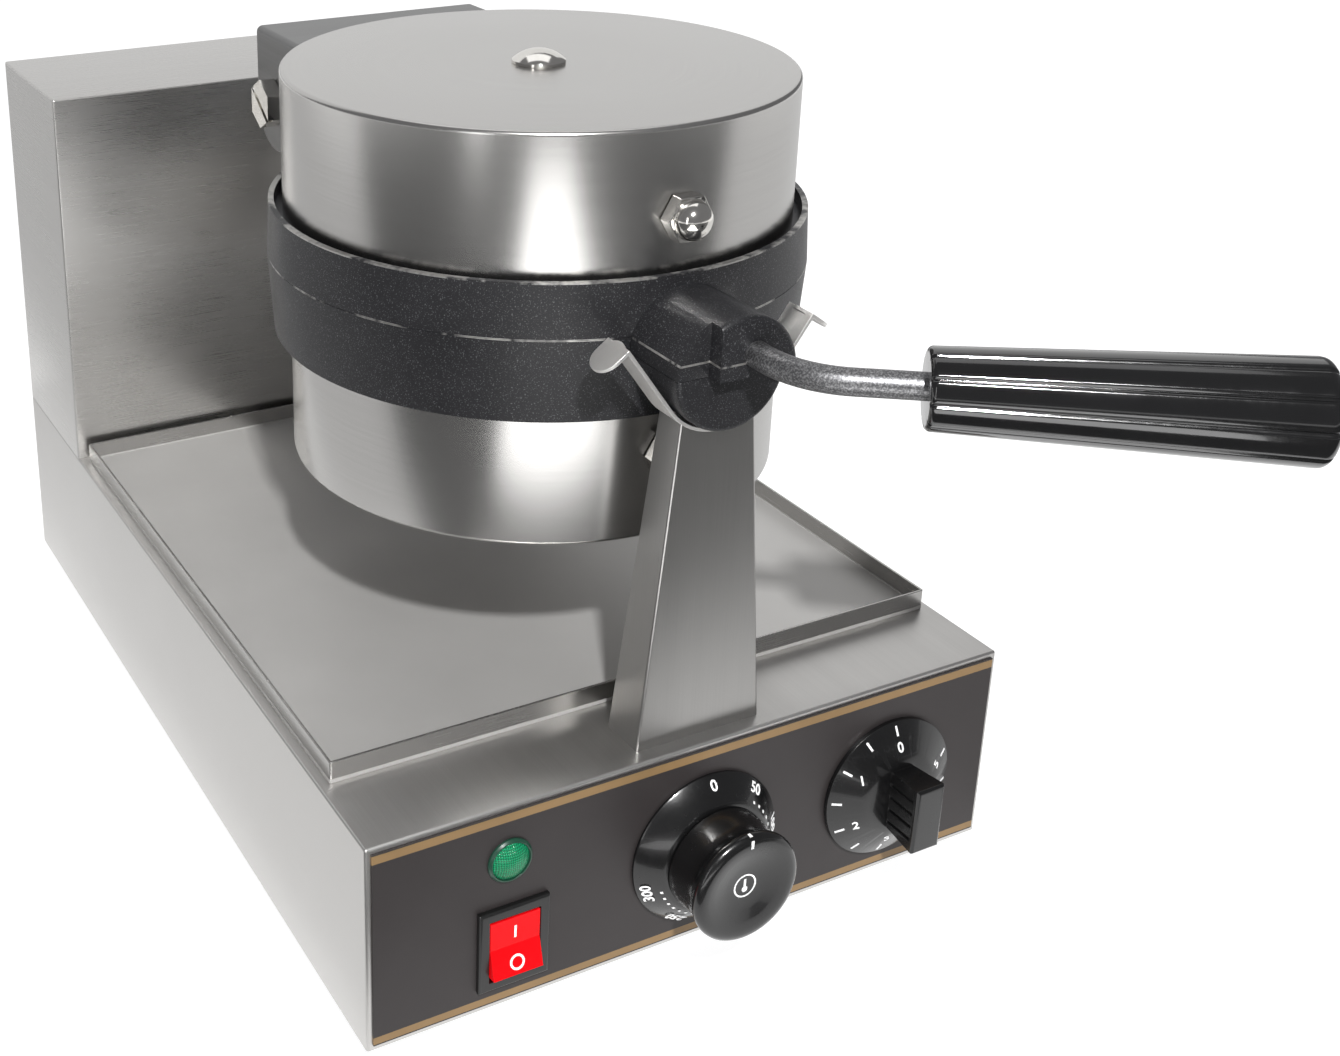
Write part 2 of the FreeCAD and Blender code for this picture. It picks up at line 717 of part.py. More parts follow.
def thermostat_knob():
    base = dial_place() + FORWARD * (DIAL_H + SKIN_GAP)
    tip = KNOB_L
    neck_in = KNOB_NECK_R - KNOB_DISH / 2
    profile = [(0, 0), (KNOB_NECK_R, 0), (KNOB_NECK_R, KNOB_RIM_L), (neck_in, tip / 2),
               (KNOB_NECK_R, tip - KNOB_RIM_L), (KNOB_RIM_R, tip - KNOB_RIM_L / 2),
               (KNOB_RIM_R - KNOB_DISH / 2, tip), (KNOB_DISH_R, tip - KNOB_DISH / 2),
               (0, tip - KNOB_DISH)]
    return less(turned(profile, base, FORWARD), bar(SPINDLE_R + FIT, base, FORWARD, SPINDLE_BITE))


def thermostat_spindle():
    return spindle(dial_place(), PANEL_FRONT - DIAL_H - SKIN_GAP - SPINDLE_BITE + FIT)


def timer_knob():
    base = timer_place() + FORWARD * SKIN_GAP
    hollow_r = NECK_R + SLIDE_GAP
    hollow_h = NECK_L + SKIN_GAP
    skirt = turned([(0, 0), (TIMER_SKIRT_R, 0), (TIMER_SKIRT_R, TIMER_EDGE_H), (TIMER_TOP_R, TIMER_SKIRT_H),
                    (0, TIMER_SKIRT_H)], base, FORWARD)
    y1 = base.y - TIMER_EDGE_H
    y0 = base.y - TIMER_SKIRT_H - TIMER_GRIP_L
    half = TIMER_GRIP_W / 2
    grip = block(base.x - half, base.x + half, y0, y1, base.z - TIMER_GRIP_H / 2, base.z + TIMER_GRIP_H / 2)
    grip = rounded(grip, TIMER_RIB_W, lambda edge: edge.BoundBox.YMax < y0 + TIMER_RIB_W)
    pitch = TIMER_GRIP_H / (TIMER_RIB_COUNT + 1)
    ribs = []
    for n in range(TIMER_RIB_COUNT):
        z = base.z - TIMER_GRIP_H / 2 + (n + 1) * pitch
        for side in SIDES:
            x = base.x + side * half
            ribs.append(block(x - TIMER_RIB_D, x + TIMER_RIB_D, y0 + 2 * TIMER_RIB_W,
                              base.y - TIMER_SKIRT_H - TIMER_RIB_W,
                              z - TIMER_RIB_W / 2, z + TIMER_RIB_W / 2))
    bore = bar(SPINDLE_R + FIT, base, FORWARD, TIMER_SKIRT_H + SPINDLE_BITE)
    return less(joined(skirt, grip), bore, bar(hollow_r, base, FORWARD, hollow_h), *ribs)


def timer_spindle():
    return spindle(timer_place(), PANEL_FRONT - SKIN_GAP - TIMER_SKIRT_H - SPINDLE_BITE + FIT)


# Mains entry

def gland_place():
    return V(GLAND_X, BACK, FOOT_H + GLAND_RISE)


def cable_gland():
    p = gland_place()
    body = joined(hexagon(GLAND_AF, p, BACKWARD, GLAND_HEX_T),
                  turned([(0, 0), (GLAND_CAP_R, 0), (GLAND_CAP_R, GLAND_CAP_L * GLAND_CAP_WALL),
                          (GLAND_BORE_R + SHEET, GLAND_CAP_L), (0, GLAND_CAP_L)],
                         p + BACKWARD * GLAND_HEX_T, BACKWARD),
                  bar(GLAND_R, p, FORWARD, GLAND_THREAD_L))
    length = GLAND_HEX_T + GLAND_CAP_L + GLAND_THREAD_L
    return less(body, bar(GLAND_BORE_R, p + FORWARD * GLAND_THREAD_L, BACKWARD, length))


def gland_nut():
    seat = gland_place() + FORWARD * SHEET
    return less(hexagon(GLAND_AF, seat, FORWARD, GLAND_NUT_T),
                bar(GLAND_R + FIT, seat, FORWARD, GLAND_NUT_T))


def terminal_block():
    y = BACK - TOWER_D / 2
    x0 = SHEET + BASE_LIP + SKIN_GAP - SIDE
    solid = block(x0, x0 + TERMINAL_L, y - TERMINAL_D / 2, y + TERMINAL_D / 2, PLATE_TOP,
                  PLATE_TOP + TERMINAL_H)
    pitch = TERMINAL_L / TERMINAL_WAYS
    holes = []
    for n in range(TERMINAL_WAYS):
        top = V(x0 + (n + 0.5) * pitch, y, PLATE_TOP + TERMINAL_H)
        holes.append(bar(TERMINAL_HOLE_R, top, DOWN, TERMINAL_HOLE_D))
    return less(solid, *holes)


# Head halves: the lower half is the upper half's section turned over, with its own sizes

def plate_profile(ring_h, draft, sign):
    """Section of a cast plate from its cooking face to its rim, as (radius, height) points."""
    top_r = RING_R - draft
    groove_r = HEATER_R + SKIN_GAP
    points = [
        (0, PLATE_GAP), (COOK_R, PLATE_GAP), (COOK_R, PLATE_GAP + GUTTER_D),
        (RING_R - SEAL_W, PLATE_GAP + GUTTER_D), (RING_R - SEAL_W, SEAM_GAP / 2), (RING_R, SEAM_GAP / 2),
        (top_r, ring_h), (top_r - RIM_T, ring_h), (top_r - RIM_T, PLATE_BACK),
        (HEATER_RING_R + groove_r, PLATE_BACK), (HEATER_RING_R + groove_r, PLATE_BACK - groove_r),
        (HEATER_RING_R - groove_r, PLATE_BACK - groove_r), (HEATER_RING_R - groove_r, PLATE_BACK),
        (PILLAR_R, PLATE_BACK), (PILLAR_R, PLATE_BACK + PILLAR_H), (0, PLATE_BACK + PILLAR_H)]
    return [(r, sign * h) for r, h in points]


def waffle_grid(sign):
    """Crossed grooves of the cooking face, as one cutting solid."""
    face = SEAM_Z + sign * PLATE_GAP
    z0, z1 = sorted((face - sign * GRID_D, face + sign * GRID_D))
    reach = COOK_R - GRID_EDGE
    count = int(reach // GRID_PITCH)
    strips = []
    for n in range(-count, count + 1):
        middle = n * GRID_PITCH
        half = math.sqrt(reach ** 2 - middle ** 2)
        left = middle - GRID_W / 2
        right = middle + GRID_W / 2
        strips.append(block(left, right, HEAD_Y - half, HEAD_Y + half, z0, z1))
        strips.append(block(-half, half, HEAD_Y + left, HEAD_Y + right, z0, z1))
    return joined(*strips)


def screw_hole(sign):
    tip = SEAM_Z + sign * (PLATE_BACK + PILLAR_H)
    return bar(CASE_SCREW_R + FIT, V(0, HEAD_Y, tip), V(0, 0, -sign), CASE_SCREW_BITE + FIT)


def boss_bar(front, radius):
    """The round bar that both boss halves are cut from, with its front edge rounded to radius."""
    boss = bar(BOSS_R, V(0, front, AXIS_Z), BACKWARD, HEAD_Y - RING_R + SEAL_W - front)
    return rounded(boss, radius, lambda edge: edge.BoundBox.YMax < front + FIT)


def half_space(z0, z1):
    return block(-FAR, FAR, -FAR, FAR, z0, z1)


def lower_plate():
    cast = turned(plate_profile(RING_DOWN, RING_DRAFT_DOWN, -1), V(0, HEAD_Y, SEAM_Z), UP)
    boss = boss_bar(BOSS_FRONT, BOSS_ROUND).common(half_space(-FAR, AXIS_Z - SEAM_GAP / 2))
    lug = block(-LUG_W / 2, LUG_W / 2, HEAD_Y, YOKE_FRONT, LUG_BOTTOM, LUG_TOP)
    lug = less(lug, bar(RING_R - SEAL_W, V(0, HEAD_Y, LUG_BOTTOM), UP, LUG_H))
    bowl = inner_bowl(RING_DRAFT_DOWN, -1)
    cuts = [waffle_grid(-1), screw_hole(-1)]
    for p in yoke_screw_places():
        cuts.append(bar(YOKE_SCREW_R + FIT, p, FORWARD, YOKE_T + YOKE_SCREW_BITE + FIT))
    return less(joined(cast, less(boss, bowl), less(lug, bowl)), *cuts)


def upper_plate():
    cast = turned(plate_profile(RING_UP, RING_DRAFT_UP, 1), V(0, HEAD_Y, SEAM_Z), UP)
    boss = boss_bar(SOCKET_FRONT, SOCKET_ROUND).common(half_space(AXIS_Z + SEAM_GAP / 2, FAR))
    step = block(-FAR, -SOCKET_SIDE, -FAR, BOSS_FRONT, -FAR, FAR)
    lower_ring = bar(RING_R + SKIN_GAP, V(0, HEAD_Y, 0), UP, SEAM_Z + SEAM_GAP / 2)
    boss = less(boss, step, lower_ring, inner_bowl(RING_DRAFT_UP, 1))
    hole = bar(ROD_R + FIT, V(ROD_ASIDE, SOCKET_FRONT, ROD_Z), BACKWARD, SOCKET_DEPTH + FIT)
    return less(joined(cast, boss), waffle_grid(1), screw_hole(1), hole)


def inner_bowl(draft, sign):
    """The space behind a plate that its boss and lug must stay out of."""
    start = SEAM_Z + sign * PLATE_BACK
    return bar(RING_R - draft - RIM_T, V(0, HEAD_Y, start), V(0, 0, sign), FAR)


def casing(radius, height, sign):
    """A drawn steel cup over a plate's back, with its holes for the stud and the middle screw."""
    edge = height - CASE_ROUND
    inner = radius - CASE_T
    corner = CASE_ROUND * (1 - math.sqrt(0.5))
    profile = [(inner, PLATE_BACK), (radius, PLATE_BACK), (radius, edge),
               (radius - corner, height - corner), (radius - CASE_ROUND, height),
               (CASE_SCREW_R + FIT, height), (CASE_SCREW_R + FIT, height - CASE_T),
               (inner, height - CASE_T)]
    cup = turned([(r, sign * h) for r, h in profile], V(0, HEAD_Y, SEAM_Z), UP)
    return less(cup, bar(STUD_R + SKIN_GAP, V(0, HEAD_Y, SEAM_Z + sign * strap_rise(sign)), FORWARD, FAR))


def strap_rise(sign):
    return STRAP_RISE if sign > 0 else STRAP_RISE + RING_DOWN - RING_UP


def upper_casing():
    cup = casing(CASE_R_UP, CASE_UP, 1)
    holes = [bar(BRACKET_SCREW_R + SKIN_GAP, p, FORWARD, BRACKET_WEB_T + CASE_R_UP / 2)
             for p in bracket_screw_places()]
    return less(cup, *holes)


def lower_casing():
    return casing(CASE_R_DOWN, CASE_DOWN, -1)


def casing_screw(height, sign):
    """A low dome-headed screw through the middle of a casing into the plate's pillar."""
    out = V(0, 0, sign)
    seat = V(0, HEAD_Y, SEAM_Z + sign * height)
    ball_h = DOME_H - DOME_RIM_H
    ball_r = (DOME_R ** 2 + ball_h ** 2) / (2 * ball_h)
    ball = Part.makeSphere(ball_r, seat + out * (DOME_H - ball_r))
    dome = ball.common(bar(DOME_R, seat + out * DOME_RIM_H, out, DOME_H))
    rim = bar(DOME_R, seat, out, DOME_RIM_H)
    length = height - PLATE_BACK - PILLAR_H + CASE_SCREW_BITE
    return joined(dome, rim, bar(CASE_SCREW_R, seat, out * -1, length))


def inner_strap(radius, sign):
    """A flat bar inside a casing: its front tab carries the stud, its rear tab meets the wall."""
    z = SEAM_Z + sign * strap_rise(sign)
    half = STRAP_W / 2
    reach = math.sqrt((radius - CASE_T) ** 2 - half ** 2) - SKIN_GAP
    y0 = HEAD_Y - reach
    y1 = HEAD_Y + reach
    flat = block(-half, half, y0, y1, z - STRAP_T / 2, z + STRAP_T / 2)
    tabs = [block(-half, half, y, y + STRAP_T, z - STRAP_TAB_H / 2, z + STRAP_TAB_H / 2)
            for y in (y0, y1 - STRAP_T)]
    stud_tip = HEAD_Y - radius - SKIN_GAP - CAP_NUT_HEX_H
    stud = bar(STUD_R, V(0, stud_tip, z), BACKWARD, y0 - stud_tip + STRAP_T / 2)
    clear = bar(CASE_SCREW_R + SKIN_GAP, V(0, HEAD_Y, z - STRAP_T), UP, 2 * STRAP_T)
    return less(joined(flat, stud, *tabs), clear)


def upper_strap():
    """The upper bar also has a wide rear plate behind the hinge bracket's screws."""
    half = BRACKET_SCREW_PITCH / 2 + BRACKET_HEAD_R
    y1 = HEAD_Y + math.sqrt((CASE_R_UP - CASE_T) ** 2 - half ** 2) - SKIN_GAP
    z = SEAM_Z + strap_rise(1)
    pad = block(-half, half, y1 - 2 * STRAP_T, y1, z - STRAP_TAB_H / 2, z + STRAP_TAB_H / 2)
    holes = [bar(BRACKET_SCREW_R + FIT, p, FORWARD, CASE_R_UP / 2) for p in bracket_screw_places()]
    return less(joined(inner_strap(CASE_R_UP, 1), pad), *holes)


def lower_strap():
    return inner_strap(CASE_R_DOWN, -1)


def cap_nut(radius, sign):
    """A domed hexagon nut on the stud at the front of a casing."""
    seat = V(0, HEAD_Y - radius - SKIN_GAP, SEAM_Z + sign * strap_rise(sign))
    hex_part = hexagon(CAP_NUT_AF, seat, FORWARD, CAP_NUT_HEX_H)
    centre = seat + FORWARD * (CAP_NUT_L - CAP_DOME_R)
    neck = bar(CAP_DOME_R, seat, FORWARD, CAP_NUT_L - CAP_DOME_R)
    dome = joined(Part.makeSphere(CAP_DOME_R, centre), neck)
    dome = dome.common(block(-FAR, FAR, -FAR, seat.y, -FAR, FAR))
    return less(joined(hex_part, dome), bar(STUD_R + FIT, seat, FORWARD, CAP_NUT_HEX_H + FIT))


def heater(sign):
    centre = V(0, HEAD_Y, SEAM_Z + sign * PLATE_BACK)
    return Part.makeTorus(HEATER_RING_R, HEATER_R, centre, UP)


def insulation(radius, sign):
    inner = PILLAR_R + SKIN_GAP
    outer = radius - CASE_T - INSULATION_GAP
    start = PLATE_BACK + HEATER_R + SKIN_GAP
    stop = strap_rise(sign) - STRAP_TAB_H / 2 - SKIN_GAP
    profile = [(inner, start), (outer, start), (outer, stop), (inner, stop)]
    return turned([(r, sign * h) for r, h in profile], V(0, HEAD_Y, SEAM_Z), UP)


# Handle

def handle_rod():
    """A bent rod: out of the socket, round one bend, then straight on into the grip."""
    turn = math.radians(ROD_BEND_ANGLE)
    start = V(ROD_ASIDE, SOCKET_FRONT + SOCKET_DEPTH, ROD_Z)
    corner = rod_corner()
    heading = grip_heading()
    tangent = ROD_BEND_R * math.tan(turn / 2)
    before = corner + BACKWARD * tangent
    after = corner + heading * tangent
    centre = before + RIGHT * ROD_BEND_R
    middle = centre + (corner - centre).normalize() * ROD_BEND_R
    end = corner + heading * (ROD_TO_GRIP + GRIP_BORE_L - FIT)
    path = Part.Wire([Part.LineSegment(start, before).toShape(), Part.Arc(before, middle, after).toShape(),
                      Part.LineSegment(after, end).toShape()])
    section = Part.Wire(Part.makeCircle(ROD_R, start, FORWARD))
    return path.makePipeShell([section], True, False)


def rod_corner():
    return V(ROD_ASIDE, BOSS_FRONT - ROD_REACH, ROD_Z)


def grip_heading():
    turn = math.radians(ROD_BEND_ANGLE)
    return V(math.sin(turn), -math.cos(turn), 0)


def handle_grip():
    heading = grip_heading()
    base = rod_corner() + heading * ROD_TO_GRIP
    soft = GRIP_ROUND * (1 - math.sqrt(0.5))
    near = GRIP_ROUND / 2
    profile = [(0, 0), (GRIP_R_NEAR - near, 0), (GRIP_R_NEAR, near), (GRIP_R_FAR, GRIP_L - GRIP_ROUND),
               (GRIP_R_FAR - soft, GRIP_L - soft), (GRIP_R_FAR - GRIP_ROUND, GRIP_L), (0, GRIP_L)]
    body = turned(profile, base, heading)
    flutes = []
    across = heading.cross(UP)
    for n in range(FLUTE_COUNT):
        angle = 2 * math.pi * n / FLUTE_COUNT
        out = UP * math.cos(angle) + across * math.sin(angle)
        start = base + out * (GRIP_R_NEAR + FLUTE_R / 2)
        tip = base + heading * (GRIP_L - 2 * GRIP_ROUND) + out * (GRIP_R_FAR + FLUTE_R / 2)
        flutes.append(bar(FLUTE_R, start, tip - start, (tip - start).Length))
    return less(body, bar(ROD_R + FIT, base, heading, GRIP_BORE_L), *flutes)


# Lid hinge

def bracket_screw_places():
    """Seats of the screw heads on the rear of the bracket's web."""
    z = SEAM_Z + STRAP_RISE
    y = BRACKET_WEB_FRONT + BRACKET_WEB_T
    return [V(side * BRACKET_SCREW_PITCH / 2, y, z) for side in SIDES]


def hinge_bracket():
    """A folded channel on the upper casing: top, two cheeks round the pivots, and a cross web."""
    half = BRACKET_W / 2
    top = HINGE_Z + BRACKET_TOP_RISE
    rear = HINGE_Y + BRACKET_REAR
    low = SEAM_Z + RING_UP + BRACKET_RING_GAP
    outline = joined(
        block(-half, half, HEAD_Y, rear, HINGE_Z, top),
        block(-half, half, HEAD_Y, HINGE_Y, low, top),
        bar(BRACKET_ROUND, V(-half, HINGE_Y, HINGE_Z), RIGHT, BRACKET_W))
    outline = outline.common(block(-half, half, HEAD_Y, rear, -FAR, top)).removeSplitter()
    outline = rounded(outline, BRACKET_T, lambda edge: edge.BoundBox.ZMin > top - FIT
                      and edge.BoundBox.XLength < FIT)
    inside = half - BRACKET_T
    channel = less(outline, block(-inside, inside, HEAD_Y - SHEET, FAR, 0, top - BRACKET_T))
    web = block(-inside, inside, BRACKET_WEB_FRONT, BRACKET_WEB_FRONT + BRACKET_WEB_T, low, top - BRACKET_T)
    cuts = [bar(CASE_R_UP + SKIN_GAP, V(0, HEAD_Y, 0), UP, FAR),
            bar(HINGE_SCREW_R + FIT, V(-BRACKET_W, HINGE_Y, HINGE_Z), RIGHT, 2 * BRACKET_W)]
    for p in bracket_screw_places():
        cuts.append(bar(BRACKET_SCREW_R + FIT, p, FORWARD, 2 * BRACKET_WEB_T))
    return less(joined(channel, web), *cuts)


def bracket_screws():
    length = BRACKET_WEB_T + CASE_T + SKIN_GAP + BRACKET_SCREW_BITE
    return [screw(p, FORWARD, BRACKET_SCREW_R, length, BRACKET_HEAD_R, BRACKET_HEAD_H)
            for p in bracket_screw_places()]


def yoke_screw_places():
    z = (LUG_TOP + LUG_BOTTOM) / 2
    return [V(side * YOKE_SCREW_PITCH / 2, YOKE_BACK, z) for side in SIDES]


def hinge_yoke():
    """A plate behind the lower half with two ears that hold the lid's pivots."""
    web = block(-YOKE_HALF, YOKE_HALF, YOKE_FRONT, YOKE_BACK, LUG_BOTTOM, HINGE_Z)
    ears = []
    for side in SIDES:
        x0 = min(side * YOKE_HALF, side * (YOKE_HALF - YOKE_T))
        ears.append(block(x0, x0 + YOKE_T, YOKE_FRONT, HINGE_Y, HINGE_Z - YOKE_EAR_R, HINGE_Z + YOKE_EAR_R))
        ears.append(bar(YOKE_EAR_R, V(x0, HINGE_Y, HINGE_Z), RIGHT, YOKE_T))
    cuts = [bar(HINGE_SCREW_R + FIT, V(-BRACKET_W, HINGE_Y, HINGE_Z), RIGHT, 2 * BRACKET_W),
            bar(SHAFT_BORE_R, V(0, YOKE_FRONT, AXIS_Z), BACKWARD, YOKE_T)]
    for p in yoke_screw_places():
        cuts.append(bar(YOKE_SCREW_R + FIT, p, FORWARD, YOKE_T))
    for p in flange_screw_places():
        cuts.append(bar(COVER_SCREW_R + FIT, p, FORWARD, 2 * YOKE_T))
    return less(joined(web, *ears), *cuts)


def yoke_screws():
    return [screw(p, FORWARD, YOKE_SCREW_R, YOKE_T + YOKE_SCREW_BITE, YOKE_HEAD_R, YOKE_HEAD_H)
            for p in yoke_screw_places()]


def hinge_screws():
    """Two slotted hexagon shoulder screws, one through each cheek into the yoke's ear."""
    screws = []
    for side in SIDES:
        seat = V(side * (BRACKET_W / 2 + SKIN_GAP), HINGE_Y, HINGE_Z)
        out = V(side, 0, 0)
        head = hexagon(HINGE_HEAD_AF, seat, out, HINGE_HEAD_H)
        reach = SKIN_GAP + BRACKET_T + YOKE_GAP + YOKE_T
        shank = bar(HINGE_SCREW_R, seat, out * -1, reach)
        face = seat + out * HINGE_HEAD_H
        x0, x1 = sorted((face.x, face.x - side * HINGE_SLOT_D))
        slot = block(x0, x1, HINGE_Y - HINGE_SLOT_W / 2, HINGE_Y + HINGE_SLOT_W / 2,
                     HINGE_Z - HINGE_HEAD_AF, HINGE_Z + HINGE_HEAD_AF)
        slot.rotate(seat, RIGHT, -ROD_BEND_ANGLE)
        screws.append(less(joined(head, shank), slot))
    return screws


# Turning shaft

def rotary_shaft():
    """A hollow shaft with a flange on the yoke and a shoulder in front of the bearing."""
    flange = bar(SHAFT_FLANGE_R, V(0, YOKE_BACK, AXIS_Z), BACKWARD, SHAFT_FLANGE_T)
    tube = bar(SHAFT_R, V(0, YOKE_BACK, AXIS_Z), BACKWARD, SHAFT_BACK - YOKE_BACK)
    stop = TOWER_FRONT - BUSH_FLANGE_T - SKIN_GAP
    shoulder = bar(SHOULDER_R, V(0, stop - SHOULDER_L, AXIS_Z), BACKWARD, SHOULDER_L)
    cuts = [bar(SHAFT_BORE_R, V(0, YOKE_BACK, AXIS_Z), BACKWARD, FAR)]
    for p in flange_screw_places():
        cuts.append(bar(COVER_SCREW_R + FIT, p, FORWARD, SHAFT_FLANGE_T))
    return less(joined(flange, tube, shoulder), *cuts)


def flange_screw_places():
    r = (SHAFT_R + SHAFT_FLANGE_R) / 2
    y = YOKE_BACK + SHAFT_FLANGE_T
    angles = [math.radians(90 * n) for n in range(4)]
    return [V(r * math.cos(a), y, AXIS_Z + r * math.sin(a)) for a in angles]


def flange_screws():
    return [screw(p, FORWARD, COVER_SCREW_R, SHAFT_FLANGE_T + YOKE_T, COVER_HEAD_R, COVER_HEAD_H)
            for p in flange_screw_places()]


def housing_screw_places():
    x = HOUSING_W / 2 - HOUSING_SCREW_INSET
    z = HOUSING_H / 2 - HOUSING_SCREW_INSET
    return [V(sx * x, TOWER_FRONT, AXIS_Z + sz * z) for sx in SIDES for sz in SIDES]


def bearing_housing():
    x = HOUSING_W / 2
    z = HOUSING_H / 2
    solid = block(-x, x, HOUSING_FRONT, HOUSING_BACK, AXIS_Z - z, AXIS_Z + z)
    bore = bar(BUSH_R + FIT, V(0, HOUSING_FRONT, AXIS_Z), BACKWARD, FAR)
    holes = [bar(HOUSING_SCREW_R + FIT, p, BACKWARD, SHEET + HOUSING_SCREW_BITE + FIT)
             for p in housing_screw_places()]
    return less(solid, bore, *holes)


def housing_screws():
    return [screw(p, BACKWARD, HOUSING_SCREW_R, SHEET + HOUSING_SCREW_BITE, HOUSING_HEAD_R, HOUSING_HEAD_H)
            for p in housing_screw_places()]


def bush(seat_y, direction):
    """A flanged sleeve: its flange lies outside seat_y, its sleeve runs along direction."""
    inner = SHAFT_R + FIT
    profile = [(inner, -BUSH_FLANGE_T), (BUSH_FLANGE_R, -BUSH_FLANGE_T), (BUSH_FLANGE_R, 0),
               (BUSH_R, 0), (BUSH_R, BUSH_L), (inner, BUSH_L)]
    return turned(profile, V(0, seat_y, AXIS_Z), direction)


def shaft_collar():
    front = HOUSING_BACK + BUSH_FLANGE_T + SKIN_GAP
    solid = bar(COLLAR_R, V(0, front, AXIS_Z), BACKWARD, COLLAR_L)
    return less(solid, bar(SHAFT_R + FIT, V(0, front, AXIS_Z), BACKWARD, COLLAR_L))


def build():
    os.makedirs("parts", exist_ok=True)
    save("base_shell", base_shell())
    save("bottom_plate", bottom_plate())
    save("rubber_feet", *rubber_feet())
    save("foot_screws", *foot_screws())
    save("foot_nuts", *foot_nuts())
    save("control_panel", control_panel())
    save("tower_shell", tower_shell())
    save("tower_back_cover", tower_back_cover())
    save("back_cover_screws", *back_cover_screws())
    save("tower_screws", *tower_screws())
    save("front_post", front_post())
    save("post_screws", *post_screws())
    save("cradle_clip", cradle_clip())
    save("drip_tray", drip_tray())
    save("pilot_lamp_body", pilot_lamp_body())
    save("pilot_lamp_lens", pilot_lamp_lens())
    save("switch_housing", switch_housing())
    save("switch_rocker", switch_rocker())
    save("thermostat_body", control_body(dial_place()))
    save("thermostat_dial_ring", thermostat_dial_ring())
    save("thermostat_spindle", thermostat_spindle())
    save("thermostat_knob", thermostat_knob())
    save("timer_body", control_body(timer_place()))
    save("timer_spindle", timer_spindle())
    save("timer_knob", timer_knob())
    save("cable_gland", cable_gland())
    save("gland_nut", gland_nut())
    save("terminal_block", terminal_block())
    save("lower_plate", lower_plate())
    save("lower_casing", lower_casing())
    save("lower_casing_screw", casing_screw(CASE_DOWN, -1))
    save("lower_strap", lower_strap())
    save("lower_cap_nut", cap_nut(CASE_R_DOWN, -1))
    save("lower_heater", heater(-1))
    save("lower_insulation", insulation(CASE_R_DOWN, -1))
    save("upper_plate", upper_plate())
    save("upper_casing", upper_casing())
    save("upper_casing_screw", casing_screw(CASE_UP, 1))
    save("upper_strap", upper_strap())
    save("upper_cap_nut", cap_nut(CASE_R_UP, 1))
    save("upper_heater", heater(1))
    save("upper_insulation", insulation(CASE_R_UP, 1))
    save("handle_rod", handle_rod())
    save("handle_grip", handle_grip())
    save("hinge_bracket", hinge_bracket())
    save("bracket_screws", *bracket_screws())
    save("hinge_yoke", hinge_yoke())
    save("yoke_screws", *yoke_screws())
    save("hinge_screws", *hinge_screws())
    save("rotary_shaft", rotary_shaft())
    save("flange_screws", *flange_screws())
    save("bearing_housing", bearing_housing())
    save("housing_screws", *housing_screws())
    save("front_bush", bush(TOWER_FRONT, BACKWARD))
    save("rear_bush", bush(HOUSING_BACK, FORWARD))
    save("shaft_collar", shaft_collar())


build()
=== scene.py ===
import json
import math

import bmesh
import bpy
from mathutils import Matrix, Vector
from mathutils.bvhtree import BVHTree

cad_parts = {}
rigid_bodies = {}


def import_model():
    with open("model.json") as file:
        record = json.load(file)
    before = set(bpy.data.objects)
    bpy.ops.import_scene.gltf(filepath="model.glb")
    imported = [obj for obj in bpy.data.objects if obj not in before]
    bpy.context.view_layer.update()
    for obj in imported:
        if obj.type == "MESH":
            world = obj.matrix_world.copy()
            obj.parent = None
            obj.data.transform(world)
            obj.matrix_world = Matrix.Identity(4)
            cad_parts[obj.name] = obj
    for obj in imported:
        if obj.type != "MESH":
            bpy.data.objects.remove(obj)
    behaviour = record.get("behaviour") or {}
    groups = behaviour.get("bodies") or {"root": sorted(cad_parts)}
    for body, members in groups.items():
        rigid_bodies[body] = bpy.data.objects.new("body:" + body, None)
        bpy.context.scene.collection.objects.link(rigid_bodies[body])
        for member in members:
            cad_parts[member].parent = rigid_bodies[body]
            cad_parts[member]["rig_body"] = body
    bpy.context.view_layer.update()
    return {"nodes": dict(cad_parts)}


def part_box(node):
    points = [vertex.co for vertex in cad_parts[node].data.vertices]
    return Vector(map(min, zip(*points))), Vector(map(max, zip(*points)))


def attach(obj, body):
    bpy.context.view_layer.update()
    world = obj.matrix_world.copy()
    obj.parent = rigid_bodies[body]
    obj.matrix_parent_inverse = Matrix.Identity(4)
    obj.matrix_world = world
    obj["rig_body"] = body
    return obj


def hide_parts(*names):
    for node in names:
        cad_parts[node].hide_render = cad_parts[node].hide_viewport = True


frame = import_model()

bl_info = {
    "name": "Waffle cone maker dressing",
    "version": (1, 0, 0),
    "blender": (4, 5, 0),
    "location": "3D View > Sidebar > Cone maker",
    "description": "Dresses the frame of a turning waffle cone maker with finishes and fine pieces",
    "category": "Object",
}

MM = 0.001
FACE_FRONT = Vector((0, -1, 0))
FULL_TURN = 2 * math.pi
MARK_STEPS = 48
WELD_GAP = 0.002 * MM
POINT_GAP = 0.001 * MM
FLAT_ANGLE = math.radians(0.3)
CREASE = math.radians(30)
TURNED_CREASE = math.radians(35)
BEVEL_CREASE = math.radians(40)
FINE_EDGE = 0.2 * MM
BROAD_EDGE = 0.3 * MM
LETTER_WEIGHT = 0.018
RIM_WEAR_HIGHLIGHT_WIDTH = 0.35 * MM
TRAY_SHEET = 1.6 * MM
BASE_SHEET = 1.0 * MM
GROOVE_SHARPNESS = 12.0
RIB_TURNS = 4200.0


# Places read from the frame

def middle(node):
    low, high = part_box(node)
    return (low + high) / 2


def head_axis():
    centre = middle("upper_casing")
    return Vector((centre.x, centre.y, 0))


def body_of(node):
    return frame["nodes"][node]["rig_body"]


def round_control(node):
    """The middle of a control's rear face, its radius and its length to the front."""
    low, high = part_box(node)
    seat = middle(node)
    seat.y = high.y
    return seat, (high.x - low.x) / 2, high.y - low.y


PANEL_LOW, PANEL_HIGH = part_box("control_panel")


# Properties

